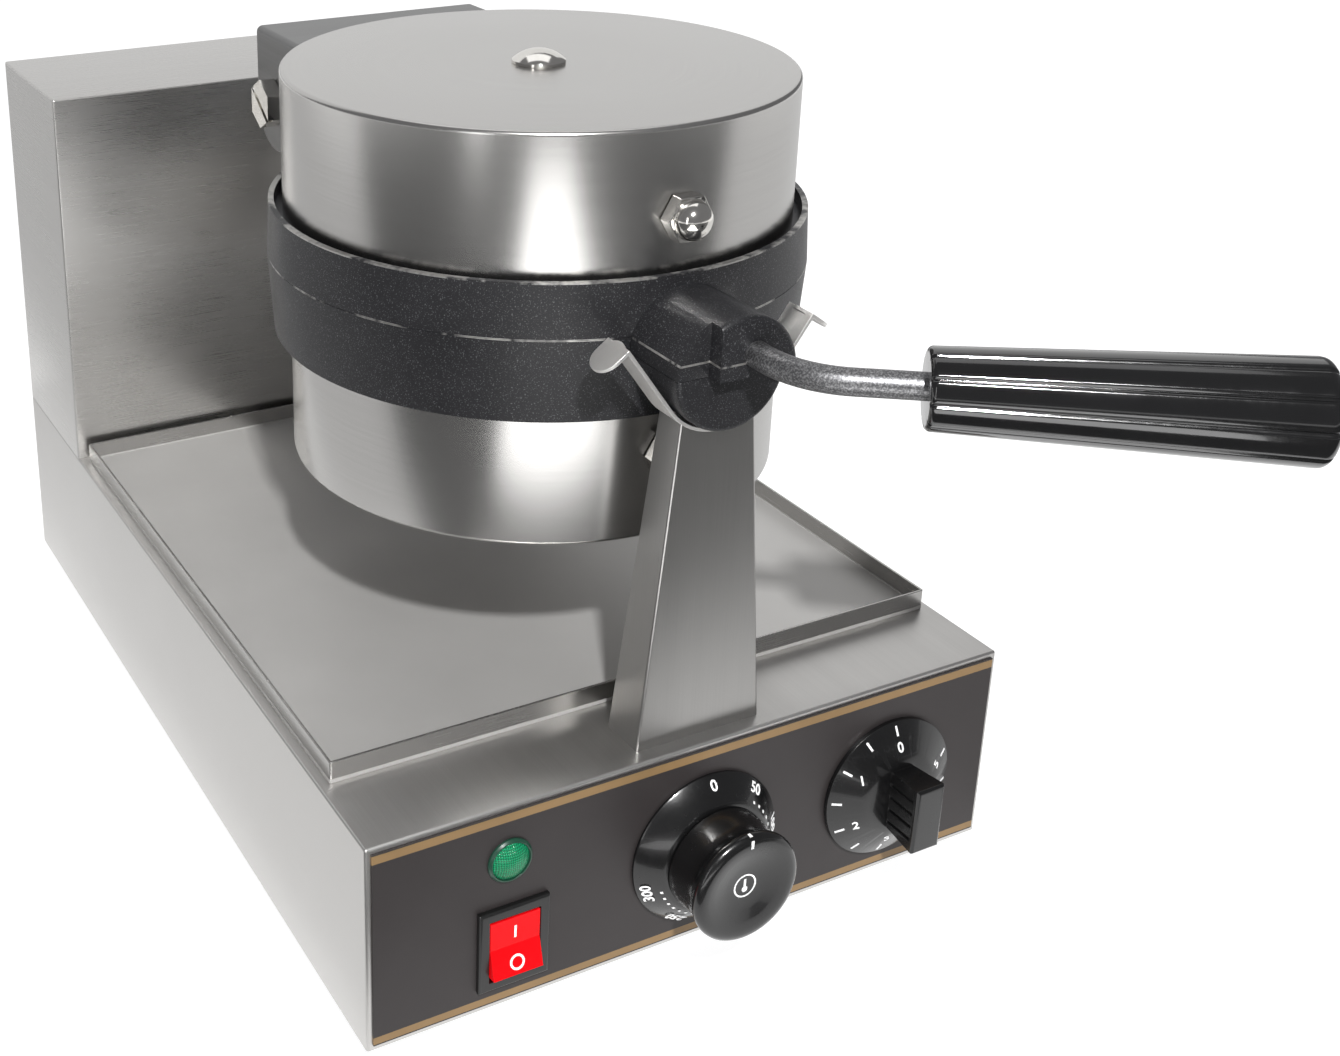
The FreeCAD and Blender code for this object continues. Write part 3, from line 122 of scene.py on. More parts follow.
def length_prop(name, description, default_mm):
    return bpy.props.FloatProperty(name=name, description=description, default=default_mm * MM,
                                   unit="LENGTH", precision=6)


def angle_prop(name, description, degrees):
    return bpy.props.FloatProperty(name=name, description=description, default=math.radians(degrees),
                                   subtype="ANGLE")


def number_prop(name, description, default):
    return bpy.props.FloatProperty(name=name, description=description, default=default)


def count_prop(name, description, default):
    return bpy.props.IntProperty(name=name, description=description, default=default)


def colour_prop(name, description, red, green, blue):
    return bpy.props.FloatVectorProperty(name=name, description=description, default=(red, green, blue, 1),
                                         size=4, subtype="COLOR")


class ConeMakerSizes(bpy.types.PropertyGroup):
    """Sizes of the pieces that are added to the frame."""

    soft_edge: length_prop("Soft edge", "Width of the softened edges of metal and plastic pieces", 0.5)
    stripe_top: length_prop("Upper stripe", "Height of the panel's upper stripe", 3.1)
    stripe_bottom: length_prop("Lower stripe", "Height of the panel's lower stripe", 2.7)
    stripe_inset: length_prop("Stripe inset", "Bare panel between a stripe and the panel's edge", 0.5)
    seam_height: length_prop("Seam height", "Height of the line between the two plates", 225.0)
    rim_height: length_prop("Rim height", "Height of the upper plate's rim", 243.5)
    mark_lift: length_prop("Mark lift", "Height of printed marks over their ground", 0.06)
    grip_flutes: count_prop("Grip flutes", "Number of grooves along the grip", 10)
    grip_groove: length_prop("Grip groove", "Depth of the grooves along the grip", 0.8)
    turning_steps: count_prop("Turning steps", "Faces round a turned piece", 160)


class ConeMakerColours(bpy.types.PropertyGroup):
    """Colours of the finishes."""

    steel: colour_prop("Stainless steel", "Satin sheet", 0.60, 0.59, 0.575)
    bracket: colour_prop("Bracket steel", "Darker brushed hinge bracket", 0.20, 0.20, 0.20)
    casting: colour_prop("Coated casting", "Matte black coating", 0.012, 0.012, 0.0135)
    panel: colour_prop("Panel", "Ground of the control panel", 0.033, 0.0285, 0.0285)
    stripe: colour_prop("Stripe", "Tan stripes of the control panel", 0.26, 0.165, 0.075)
    rocker: colour_prop("Rocker", "Red rocker", 0.68, 0.003, 0.006)
    lens: colour_prop("Lamp lens", "Green lens", 0.003, 0.18, 0.075)


# Node building

def math_operator(operation, swapped=False):
    """A method that adds one Math node for a value and another value or number."""
    def apply(self, other):
        return self.nodes.math(operation, *((other, self) if swapped else (self, other)))
    return apply


class Value:
    """A node's output that can be used in sums: each operator adds one Math node."""

    __add__ = math_operator("ADD")
    __radd__ = math_operator("ADD", True)
    __sub__ = math_operator("SUBTRACT")
    __rsub__ = math_operator("SUBTRACT", True)
    __mul__ = math_operator("MULTIPLY")
    __rmul__ = math_operator("MULTIPLY", True)
    __gt__ = math_operator("GREATER_THAN")
    __lt__ = math_operator("LESS_THAN")

    def __init__(self, nodes, socket):
        self.nodes = nodes
        self.socket = socket


class Nodes:
    """A node tree under construction."""

    def __init__(self, tree):
        self.tree = tree

    def add(self, kind, settings=None, sockets=None, out=0):
        """Adds a node: its settings first, then the values or links of its sockets."""
        node = self.tree.nodes.new(kind)
        for key, value in (settings or {}).items():
            if key == "stops":
                self._ramp(node.color_ramp, value)
            else:
                setattr(node, key, value)
        for key, value in (sockets or {}).items():
            self._fill(self._socket(node.inputs, key), value)
        return Value(self, self._socket(node.outputs, out))

    @staticmethod
    def _socket(sockets, key):
        if isinstance(key, int):
            return sockets[key]
        named = [socket for socket in sockets if socket.identifier == key]
        return named[0] if named else sockets[key]

    @staticmethod
    def _ramp(ramp, stops):
        while len(ramp.elements) < len(stops):
            ramp.elements.new(1.0)
        for element, (place, tone) in zip(ramp.elements, stops):
            element.position = place
            element.color = (tone, tone, tone, 1)

    def _fill(self, socket, value):
        if isinstance(value, Value):
            self.tree.links.new(value.socket, socket)
        else:
            socket.default_value = value

    def math(self, operation, *values):
        return self.add("ShaderNodeMath", {"operation": operation}, dict(enumerate(values)))

    def axis(self, vector, name):
        return self.add("ShaderNodeSeparateXYZ", None, {0: vector}, name)


class Finish(Nodes):
    """A material under construction around one Principled shader."""

    def __init__(self, name, **constants):
        self.material = bpy.data.materials.new(name)
        self.material.use_nodes = True
        super().__init__(self.material.node_tree)
        self.tree.nodes.clear()
        self.shader = self.tree.nodes.new("ShaderNodeBsdfPrincipled")
        output = self.tree.nodes.new("ShaderNodeOutputMaterial")
        self.tree.links.new(self.shader.outputs[0], output.inputs[0])
        for socket, value in constants.items():
            self.shader.inputs[socket.replace("_", " ")].default_value = value

    def feed(self, name, value):
        self._fill(self.shader.inputs[name], value)

    def place(self, scale=(1, 1, 1), shift=(0, 0, 0), source="Object"):
        """Object or UV coordinates, moved by shift and then stretched by scale."""
        coordinates = self.add("ShaderNodeTexCoord", out=source)
        moved = self.add("ShaderNodeVectorMath", {"operation": "ADD"}, {0: coordinates, 1: shift})
        return self.add("ShaderNodeVectorMath", {"operation": "MULTIPLY"}, {0: moved, 1: scale})

    def noise(self, vector, scale, detail=2.0, rough=0.5):
        return self.add("ShaderNodeTexNoise", None,
                        {"Vector": vector, "Scale": scale, "Detail": detail, "Roughness": rough})

    def ramp(self, value, *stops):
        return self.add("ShaderNodeValToRGB", {"stops": stops}, {0: value})

    def mix(self, factor, first, second):
        return self.add("ShaderNodeMix", {"data_type": "RGBA"},
                        {"Factor_Float": factor, "A_Color": first, "B_Color": second}, "Result_Color")

    def tones(self, factor, colour, low, high):
        """A colour that runs from one shade of itself to another."""
        return self.mix(factor, shade(colour, low), shade(colour, high))

    def done(self, colour, roughness, *bump):
        """Feeds colour, roughness and a bump's height, strength and depth, and gives the material."""
        self.feed("Base Color", colour)
        self.feed("Roughness", roughness)
        if bump:
            sockets = dict(zip(("Height", "Strength", "Distance"), bump))
            self.feed("Normal", self.add("ShaderNodeBump", None, sockets))
        return self.material


def shade(colour, factor):
    """The same colour, lighter or darker."""
    return tuple(channel * factor for channel in colour[:3]) + (1,)


# Finishes

def sheet_steel(name, colour, rough, streak, side=1.0, side_shade=1.0):
    """Brushed sheet: streaks along the grain of the piece's own map, faint hand smudges, and folded sides
    that, from a distance off the middle on, take a darker copy of the colour as painted shade."""
    finish = Finish(name, Metallic=1.0)
    grain = finish.noise(finish.place((26, 2600, 1), source="UV"), 1.0, 3.0, 0.6)
    wide = finish.noise(finish.place((3, 160, 1), source="UV"), 1.0, 2.0)
    smudge = finish.noise(finish.place(), 14.0, 3.0, 0.6)
    tone = finish.ramp(grain * 0.6 + wide * 0.4, (0.3, 0.0), (0.7, 1.0))
    brushed = finish.tones(tone, colour, 1 - streak, 1 + streak)
    x = finish.axis(finish.place(), "X")
    # painted shade: beyond a distance off the middle, the folded side walls take a darker copy of the colour
    side_shaded = finish.mix((x > side) + (x < -side), brushed, shade(colour, side_shade))
    return finish.done(side_shaded, rough + (grain - 0.5) * 0.08 + (smudge - 0.5) * 0.08, grain, 0.05, 0.01 * MM)


def tray_steel(name, colour, floor):
    """Dull rolled sheet up to a height, and brighter folded walls above it."""
    finish = Finish(name)
    place = finish.place()
    wall = finish.axis(place, "Z") > floor
    cloud = finish.noise(place, 18.0, 4.0, 0.6)
    grain = finish.noise(finish.place((30, 2400, 1), source="UV"), 1.0, 3.0, 0.6)
    dull = finish.tones(cloud, colour, 0.90, 1.08)
    finish.feed("Metallic", 0.45 + wall * 0.55)
    rough = 0.46 - wall * 0.20 + (grain - 0.5) * 0.08 + (cloud - 0.5) * 0.12
    return finish.done(finish.mix(wall, dull, shade(colour, 0.95)), rough, grain, 0.05, 0.01 * MM)


def drawn_steel(name, colour):
    """Casing steel, brushed in circles round the head's axis on its wall and on its flat end."""
    finish = Finish(name, Metallic=1.0)
    place = finish.place(shift=-head_axis())
    flat = finish.add("ShaderNodeVectorMath", {"operation": "MULTIPLY"}, {0: place, 1: (1, 1, 0)})
    radius = finish.add("ShaderNodeVectorMath", {"operation": "LENGTH"}, {0: flat}, "Value")
    across = radius + finish.axis(place, "Z")
    x = finish.axis(place, "X")
    y = finish.axis(place, "Y")
    lines = finish.add("ShaderNodeCombineXYZ", None, {0: x * 14.0, 1: y * 14.0, 2: across * 2400.0})
    grain = finish.noise(lines, 1.0, 3.0, 0.6)
    smudge = finish.noise(place, 12.0, 3.0, 0.6)
    tone = finish.ramp(grain, (0.3, 0.0), (0.7, 1.0))
    rough = 0.24 + (grain - 0.5) * 0.04 + (smudge - 0.5) * 0.05
    return finish.done(finish.tones(tone, colour, 0.97, 1.03), rough, grain, 0.03, 0.01 * MM)


def coated_casting(name, colour, rims, width):
    """Matte coating with fine grain and pale specks, and bare metal in broken lines along the rims: partly
    wear of the coating, partly a painted highlight on the rim edges.
    """
    finish = Finish(name, Specular_IOR_Level=0.36)
    place = finish.place()
    z = finish.axis(place, "Z")
    rubbed_highlight = finish.ramp(finish.noise(place, 45.0, 4.0, 0.7), (0.44, 0.0), (0.56, 1.0))
    # the broken bare-metal lines along the rims are partly wear and partly a painted highlight
    rim_wear_highlight = sum(((z > rim - width) * (z < rim + width) for rim in rims), 0.0) * rubbed_highlight
    grain = finish.noise(place, 1500.0, 3.0, 0.6)
    cloud = finish.noise(place, 60.0, 3.0, 0.55)
    specks = finish.ramp(finish.noise(place, 2300.0, 1.0), (0.60, 0.0), (0.74, 1.0))
    ground = finish.tones(cloud, colour, 0.75, 1.45)
    coated = finish.mix(specks * 0.5, ground, (0.20, 0.20, 0.21, 1))
    finish.feed("Metallic", rim_wear_highlight)
    rough = 0.40 + (grain - 0.5) * 0.20 + (cloud - 0.5) * 0.14
    return finish.done(finish.mix(rim_wear_highlight, coated, (0.50, 0.49, 0.47, 1)), rough, grain, 0.40, 0.06 * MM)


def speckled_rod(name):
    """Dark steel rod with a coarse cast skin that catches small bright points."""
    finish = Finish(name, Metallic=0.9)
    place = finish.place()
    grain = finish.noise(place, 1900.0, 4.0, 0.65)
    specks = finish.ramp(finish.noise(place, 1700.0, 2.0), (0.42, 0.0), (0.68, 1.0))
    skin = finish.mix(specks, (0.13, 0.13, 0.135, 1), (0.36, 0.36, 0.365, 1))
    return finish.done(skin, 0.30 + grain * 0.22, grain, 0.45, 0.07 * MM)


def moulded(name, colour, rough, grain_size, coat=0.0):
    """Moulded plastic with a fine texture and slight handling wear."""
    finish = Finish(name, Coat_Weight=coat, Coat_Roughness=0.06)
    place = finish.place()
    grain = finish.noise(place, grain_size, 2.0)
    wear = finish.noise(place, 70.0, 4.0, 0.6)
    handled = rough + (wear - 0.5) * 0.16 + (grain - 0.5) * 0.08
    return finish.done(finish.tones(wear, colour, 0.8, 1.3), handled, grain, 0.25, 0.04 * MM)


def plated(name, colour, rough):
    """Bright plated metal with faint tarnish."""
    finish = Finish(name, Metallic=1.0)
    cloud = finish.noise(finish.place(), 180.0, 3.0, 0.6)
    tarnished = finish.tones(cloud, colour, 0.82, 1.08)
    return finish.done(tarnished, rough + (cloud - 0.5) * 0.10, cloud, 0.05, 0.05 * MM)


def panel_film(sizes, colours):
    """The panel's dark film, with a tan stripe along its upper and lower edges."""
    finish = Finish("panel_film", Specular_IOR_Level=0.35)
    place = finish.place()
    z = finish.axis(place, "Z")
    top = PANEL_HIGH.z - sizes.stripe_inset
    bottom = PANEL_LOW.z + sizes.stripe_inset
    upper = (z > top - sizes.stripe_top) * (z < top)
    lower = (z > bottom) * (z < bottom + sizes.stripe_bottom)
    cloud = finish.noise(place, 40.0, 3.0, 0.6)
    grain = finish.noise(place, 2200.0, 1.0)
    ground = finish.tones(cloud, colours.panel, 0.88, 1.14)
    tan = finish.tones(cloud, colours.stripe, 0.8, 1.2)
    striped = finish.mix(upper + lower, ground, tan)
    return finish.done(striped, 0.44 + (grain - 0.5) * 0.12, grain, 0.10, 0.02 * MM)


def lamp_lens(name, colour):
    """Green moulded lens with crossed prism ribs."""
    finish = Finish(name, Coat_Weight=0.3, Coat_Roughness=0.05, Specular_IOR_Level=0.3,
                    Emission_Strength=0.12)
    place = finish.place()
    x = finish.axis(place, "X")
    z = finish.axis(place, "Z")
    first = finish.math("SINE", (x + z) * RIB_TURNS)
    second = finish.math("SINE", (x - z) * RIB_TURNS)
    ribs = first * second * 0.5 + 0.5
    finish.feed("Emission Color", finish.tones(ribs, colour, 0.3, 1.5))
    return finish.done(finish.tones(ribs, colour, 0.35, 1.8), 0.12 + ribs * 0.10, ribs, 0.8, 0.25 * MM)


def rocker_red(name, colour):
    """Clear red rocker, a little lit from behind."""
    finish = Finish(name, Coat_Weight=0.04, Coat_Roughness=0.05, Specular_IOR_Level=0.1,
                    Emission_Strength=0.30)
    cloud = finish.noise(finish.place(), 130.0, 2.0)
    finish.feed("Emission Color", finish.tones(cloud, colour, 0.8, 1.1))
    return finish.done(finish.tones(cloud, colour, 0.85, 1.12), 0.22 + (cloud - 0.5) * 0.1)


def mark_paint(name):
    """White printed marks, slightly uneven, with a faint glow of painted light."""
    # painted light: the printed marks glow faintly though they hold no lamp
    finish = Finish(name, Emission_Strength=0.25)
    cloud = finish.noise(finish.place(), 900.0, 2.0)
    white = finish.mix(cloud, (0.78, 0.78, 0.78, 1), (0.94, 0.94, 0.94, 1))
    finish.feed("Emission Color", white)
    return finish.done(white, 0.5 + (cloud - 0.5) * 0.1)


FINISHES = {}


def make_finishes(sizes, colours):
    """Every finish by the name the pieces ask for."""
    steel = colours.steel
    base_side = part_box("base_shell")[1].x - BASE_SHEET
    tray_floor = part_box("drip_tray")[0].z + TRAY_SHEET
    # heights of the bare-metal lines: wear and painted highlight
    wear_highlight_rims = (sizes.seam_height, sizes.rim_height)
    FINISHES.update(
        sheet=sheet_steel("satin_sheet", shade(steel, 0.95), 0.28, 0.03),
        # clip: a lighter copy of the steel as painted light
        clip=sheet_steel("clip_sheet", shade(steel, 1.5), 0.45, 0.03),
        # base: its side walls get a darker copy of the steel as painted shade
        base=sheet_steel("base_sheet", shade(steel, 1.04), 0.36, 0.05, base_side, 0.92),
        # post: a darker copy of the steel as painted shade
        post=sheet_steel("post_sheet", shade(steel, 0.66), 0.30, 0.05),
        tray=tray_steel("tray_sheet", shade(steel, 0.86), tray_floor),
        bracket=sheet_steel("bracket_steel", colours.bracket, 0.34, 0.14),
        zinc=sheet_steel("zinc_steel", (0.42, 0.43, 0.45, 1), 0.42, 0.08),
        casing=drawn_steel("drawn_casing_steel", shade(steel, 0.92)),
        casting=coated_casting("coated_casting", colours.casting, wear_highlight_rims, RIM_WEAR_HIGHLIGHT_WIDTH),
        rod=speckled_rod("speckled_rod_steel"),
        grip=moulded("glossy_grip", (0.0035, 0.0035, 0.0038, 1), 0.12, 500.0, 1.0),
        knob=moulded("knob_plastic", (0.004, 0.004, 0.0042, 1), 0.24, 1100.0, 0.40),
        bezel=moulded("bezel_plastic", (0.006, 0.006, 0.006, 1), 0.32, 1500.0, 0.2),
        pale=moulded("pale_plastic", (0.68, 0.66, 0.60, 1), 0.45, 1200.0),
        lamp_rim=moulded("lamp_rim_plastic", (0.010, 0.05, 0.03, 1), 0.30, 1200.0, 0.3),
        rubber=moulded("foot_rubber", (0.020, 0.020, 0.020, 1), 0.72, 700.0),
        bright=plated("bright_plating", (0.86, 0.84, 0.80, 1), 0.12),
        turned=plated("turned_steel", (0.52, 0.52, 0.52, 1), 0.26),
        bronze=plated("bush_bronze", (0.50, 0.33, 0.14, 1), 0.34),
        heater=plated("heater_tube", (0.16, 0.15, 0.14, 1), 0.45),
        wool=moulded("mineral_wool", (0.60, 0.56, 0.44, 1), 0.95, 300.0),
        panel=panel_film(sizes, colours),
        lens=lamp_lens("lamp_lens", colours.lens),
        red=rocker_red("rocker_red", colours.rocker),
        mark=mark_paint("mark_white"),
    )


# Mesh helpers

def linked(name, data):
    """A new object in the scene."""
    piece = bpy.data.objects.new(name, data)
    bpy.context.scene.collection.objects.link(piece)
    return piece


def made_mesh(name, work):
    """The mesh of a finished bmesh."""
    mesh = bpy.data.meshes.new(name)
    work.to_mesh(mesh)
    work.free()
    return mesh


def plain_mesh(piece):
    """An object's shape with its modifiers, as a plain mesh."""
    graph = bpy.context.evaluated_depsgraph_get()
    return bpy.data.meshes.new_from_object(piece.evaluated_get(graph), depsgraph=graph)


def dress(piece, finish, body, slot, *replaced):
    """Gives a piece its finish and the body it rides on, and hides the nodes it stands for; the slot is not
    used.
    """
    piece.data.materials.clear()
    piece.data.materials.append(FINISHES[finish])
    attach(piece, body)
    if replaced:
        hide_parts(*replaced)


def new_piece(name, mesh, finish, body, slot, *replaced):
    """Links a finished mesh as a piece that rides on a body and stands for some nodes."""
    dress(linked(name, mesh), finish, body, slot, *replaced)


def grain_map(mesh, along):
    """A flat map in metres whose first axis follows the brushing on every face."""
    layer = mesh.uv_layers.new(name="grain")
    for face in mesh.polygons:
        normal = face.normal
        strongest = max(range(3), key=lambda k: abs(normal[k]))
        plane = [k for k in range(3) if k != strongest]
        run = along if along in plane else plane[0]
        cross = plane[1] if run == plane[0] else plane[0]
        for loop in face.loop_indices:
            point = mesh.vertices[mesh.loops[loop].vertex_index].co
            layer.data[loop].uv = (point[run], point[cross] + normal[strongest] * point[strongest])


def merged_copy(node):
    """A welded copy of a node's mesh, smooth but for its real edges."""
    mesh = frame["nodes"][node].data.copy()
    mesh.name = node + "_skin"
    work = bmesh.new()
    work.from_mesh(mesh)
    bmesh.ops.remove_doubles(work, verts=work.verts, dist=WELD_GAP)
    bmesh.ops.dissolve_limit(work, angle_limit=FLAT_ANGLE, verts=work.verts, edges=work.edges)
    for face in work.faces:
        face.smooth = True
    work.to_mesh(mesh)
    work.free()
    mesh.set_sharp_from_angle(angle=CREASE)
    return mesh


def swell(mesh, centre, growth, limit):
    """Grows the part of a mesh in front of a limit sideways and upwards about a centre."""
    for vertex in mesh.vertices:
        if vertex.co.y < limit:
            vertex.co.x = centre.x + (vertex.co.x - centre.x) * growth[0]
            vertex.co.z = centre.z + (vertex.co.z - centre.z) * growth[1]


def clad(node, finish, slot, edge=None, along=1, growth=None, limit=math.inf):
    """A welded copy of a node with softened edges and a finish; it stands for the node."""
    mesh = merged_copy(node)
    if growth:
        swell(mesh, middle(node), growth, limit)
    piece = linked(node + "_skin", mesh)
    width = bpy.context.scene.cone_maker_sizes.soft_edge if edge is None else edge
    if width > 0:
        bevel = piece.modifiers.new("soft edges", "BEVEL")
        bevel.width = width
        bevel.segments = 2
        bevel.limit_method = "ANGLE"
        bevel.angle_limit = BEVEL_CREASE
        bevel.harden_normals = True
        bevel.use_clamp_overlap = True
        mesh = plain_mesh(piece)
        piece.modifiers.clear()
        piece.data = mesh
    grain_map(mesh, along)
    dress(piece, finish, body_of(node), slot, node)


def pointing(place, direction):
    """The move of a mesh to a place, with its own Z axis along a direction."""
    return Matrix.Translation(place) @ direction.to_track_quat("Z", "Y").to_matrix().to_4x4()


def turned_mesh(name, profile, centre, direction, steps):
    """A solid of revolution from (radius, height) points; ends at radius 0 are closed in one point."""
    work = bmesh.new()
    rings = []
    for radius, height in profile:
        if radius < POINT_GAP:
            rings.append([work.verts.new((0, 0, height))])
            continue
        ring = []
        for n in range(steps):
            angle = FULL_TURN * n / steps
            ring.append(work.verts.new((radius * math.cos(angle), radius * math.sin(angle), height)))
        rings.append(ring)
    for lower, upper in zip(rings, rings[1:]):
        for n in range(steps):
            corners = [lower[n % len(lower)], lower[(n + 1) % len(lower)],
                       upper[(n + 1) % len(upper)], upper[n % len(upper)]]
            corners = list(dict.fromkeys(corners))
            if len(corners) > 2:
                work.faces.new(corners)
    bmesh.ops.recalc_face_normals(work, faces=work.faces)
    bmesh.ops.transform(work, matrix=pointing(centre, direction), verts=work.verts)
    for face in work.faces:
        face.smooth = True
    mesh = made_mesh(name, work)
    mesh.set_sharp_from_angle(angle=TURNED_CREASE)
    return mesh


def turned_piece(name, node, finish, slot, profile, centre, direction):
    """A turned piece that stands for a node and rides on its body."""
    steps = bpy.context.scene.cone_maker_sizes.turning_steps
    mesh = turned_mesh(name, profile, centre, direction, steps)
    new_piece(name, mesh, finish, body_of(node), slot, node)


def band_profile(radius, width, low, high):
    """A flat ring's section, for a turned mesh."""
    inner = radius - width / 2
    outer = radius + width / 2
    return [(inner, low), (outer, low), (outer, high), (inner, high), (inner, low)]


def text_mesh(text, height, thickness):
    """Centred raised lettering, flat in its own XY plane."""
    curve = bpy.data.curves.new("lettering", "FONT")
    curve.body = text
    curve.size = height
    curve.align_x = "CENTER"
    curve.align_y = "CENTER"
    curve.extrude = thickness
    curve.offset = height * LETTER_WEIGHT
    holder = linked("lettering", curve)
    mesh = plain_mesh(holder)
    bpy.data.objects.remove(holder)
    bpy.data.curves.remove(curve)
    return mesh


def box_mesh(name, size, place=(0, 0, 0)):
    work = bmesh.new()
    bmesh.ops.create_cube(work, size=1.0)
    bmesh.ops.scale(work, vec=size, verts=work.verts)
    bmesh.ops.translate(work, vec=place, verts=work.verts)
    return made_mesh(name, work)


def joined_mesh(name, meshes):
    """Several meshes as one, each already in its place."""
    work = bmesh.new()
    for mesh in meshes:
        work.from_mesh(mesh)
        bpy.data.meshes.remove(mesh)
    return made_mesh(name, work)


def mark_piece(name, body, *meshes):
    """Printed marks as one piece that rides on a body."""
    new_piece(name, joined_mesh(name, meshes), "mark", body, None)


def standing(spot, across, up, away):
    """The move of a flat mesh to a spot, with its own axes laid along three directions."""
    return Matrix.Translation(spot) @ Matrix((across, up, away)).transposed().to_4x4()


def dial_place(centre, front, angle, radius, slope, lift):
    """Where a mark lies on a dial's cone: angle runs clockwise from the top, seen from the front."""
    out = Vector((math.sin(angle), 0, math.cos(angle)))
    away = (FACE_FRONT * math.cos(slope) + out * math.sin(slope)).normalized()
    up = (out * math.cos(slope) - FACE_FRONT * math.sin(slope)).normalized()
    spot = Vector((centre.x, front, centre.z)) + out * radius + away * lift
    return standing(spot, up.cross(away), up, away)


def dial_numbers(name, numbers, centre, front, radius, slope, height, lift, upright=0.0):
    """Numbers round a dial: their feet point to its middle, or upright turns them back by that share."""
    meshes = []
    for text, angle in numbers:
        mesh = text_mesh(text, height, lift)
        mesh.transform(Matrix.Rotation(math.radians(angle) * upright, 4, "Z"))
        mesh.transform(dial_place(centre, front, math.radians(angle), radius, slope, lift))
        meshes.append(mesh)
    return joined_mesh(name, meshes)


# Geometry node trees

class NodeTree(Nodes):
    """A geometry node tree under construction, with named inputs for its sizes."""

    def __init__(self, name):
        super().__init__(bpy.data.node_groups.new(name, "GeometryNodeTree"))
        self.tree.interface.new_socket("Geometry", in_out="OUTPUT", socket_type="NodeSocketGeometry")
        self.inputs = self.tree.nodes.new("NodeGroupInput")
        self.output = self.tree.nodes.new("NodeGroupOutput")

    def size(self, name, kind="NodeSocketFloat"):
        self.tree.interface.new_socket(name, in_out="INPUT", socket_type=kind)
        return Value(self, self.inputs.outputs[name])

    def finish(self, geometry):
        """Ends the tree in plain geometry with its material."""
        material = self.size("Finish", "NodeSocketMaterial")
        real = self.add("GeometryNodeRealizeInstances", None, {0: geometry})
        painted = self.add("GeometryNodeSetMaterial", None, {"Geometry": real, "Material": material})
        self._fill(self.output.inputs[0], painted)
        return self

    def grown(self, name, **values):
        """The tree's result as a plain mesh, for the named input values."""
        holder = linked(name, bpy.data.meshes.new(name))
        modifier = holder.modifiers.new("growth", "NODES")
        modifier.node_group = self.tree
        for item in self.tree.interface.items_tree:
            key = item.name.replace(" ", "_").lower()
            if item.item_type == "SOCKET" and item.in_out == "INPUT" and key in values:
                modifier[item.identifier] = values[key]
        mesh = plain_mesh(holder)
        bpy.data.objects.remove(holder)
        mesh.name = name
        return mesh


def mark_ring_tree():
    """Bars spread evenly along an arc of a cone, each pointing to the cone's middle."""
    tree = NodeTree("marks round a dial")
    count = tree.size("Count", "NodeSocketInt")
    first = tree.size("First angle")
    step = tree.size("Step angle")
    radius = tree.size("Radius")
    slope = tree.size("Slope")
    bar = tree.size("Bar", "NodeSocketVector")
    line = tree.add("GeometryNodeMeshLine", None, {"Count": count})
    angle = first + tree.add("GeometryNodeInputIndex") * step
    spot = tree.add("ShaderNodeCombineXYZ", None, {
        0: radius * tree.math("SINE", angle), 2: radius * tree.math("COSINE", angle)})
    points = tree.add("GeometryNodeSetPosition", None, {"Geometry": line, "Position": spot})
    shape = tree.add("GeometryNodeMeshCube", None, {"Size": bar})
    lean = tree.add("ShaderNodeCombineXYZ", None, {0: slope, 1: angle})
    placed = tree.add("GeometryNodeInstanceOnPoints", None,
                      {"Points": points, "Instance": shape, "Rotation": lean})
    return tree.finish(placed)


def fluted_grip_tree():
    """A tapered grip: a grid wrapped round its length, grooved along it and drawn in at both ends."""
    tree = NodeTree("fluted grip")
    length = tree.size("Length")
    near = tree.size("Near radius")
    far = tree.size("Far radius")
    near_round = tree.size("Near round")
    far_round = tree.size("Far round")
    flutes = tree.size("Flutes")
    groove = tree.size("Groove")
    around = tree.size("Around", "NodeSocketInt")
    along = tree.size("Along", "NodeSocketInt")
    grid = tree.add("GeometryNodeMeshGrid", None,
                    {"Size X": 1.0, "Size Y": 1.0, "Vertices X": along, "Vertices Y": around})
    place = tree.add("GeometryNodeInputPosition")
    u = tree.axis(place, "X") + 0.5
    v = tree.axis(place, "Y") + 0.5
    eased = u - tree.math("SINE", u * FULL_TURN) * (1 / FULL_TURN)
    h = eased * length
    body = near + eased * (far - near)

    def rounding(distance, radius):
        """How far the end's rounding draws the wall in, at a distance from that end."""
        left = tree.math("MAXIMUM", radius - distance, 0.0)
        square = tree.math("MAXIMUM", radius * radius - left * left, 0.0)
        return radius - tree.math("SQRT", square)

    drawn = rounding(h, near_round) + rounding(length - h, far_round)
    angle = v * FULL_TURN
    wave = tree.math("MAXIMUM", tree.math("COSINE", angle * flutes), 0.0)
    cut = tree.math("POWER", wave, GROOVE_SHARPNESS) * groove
    radius = (u > 0.0) * (u < 1.0) * (body - drawn - cut)
    wall = tree.add("ShaderNodeCombineXYZ", None, {
        0: radius * tree.math("COSINE", angle), 1: radius * tree.math("SINE", angle), 2: h})
    wrapped = tree.add("GeometryNodeSetPosition", None, {"Geometry": grid, "Position": wall})
    welded = tree.add("GeometryNodeMergeByDistance", None, {"Geometry": wrapped, "Distance": POINT_GAP})
    smooth = tree.add("GeometryNodeSetShadeSmooth", None, {"Geometry": welded, "Shade Smooth": True})
    return tree.finish(smooth)


# Operators

class PieceOperator:
    """What the operators share: they are run once, from the panel or the script."""

    bl_options = {"REGISTER"}

    def execute(self, context):
        if not FINISHES:
            make_finishes(context.scene.cone_maker_sizes, context.scene.cone_maker_colours)
        self.make(context.scene.cone_maker_sizes)
        return {"FINISHED"}


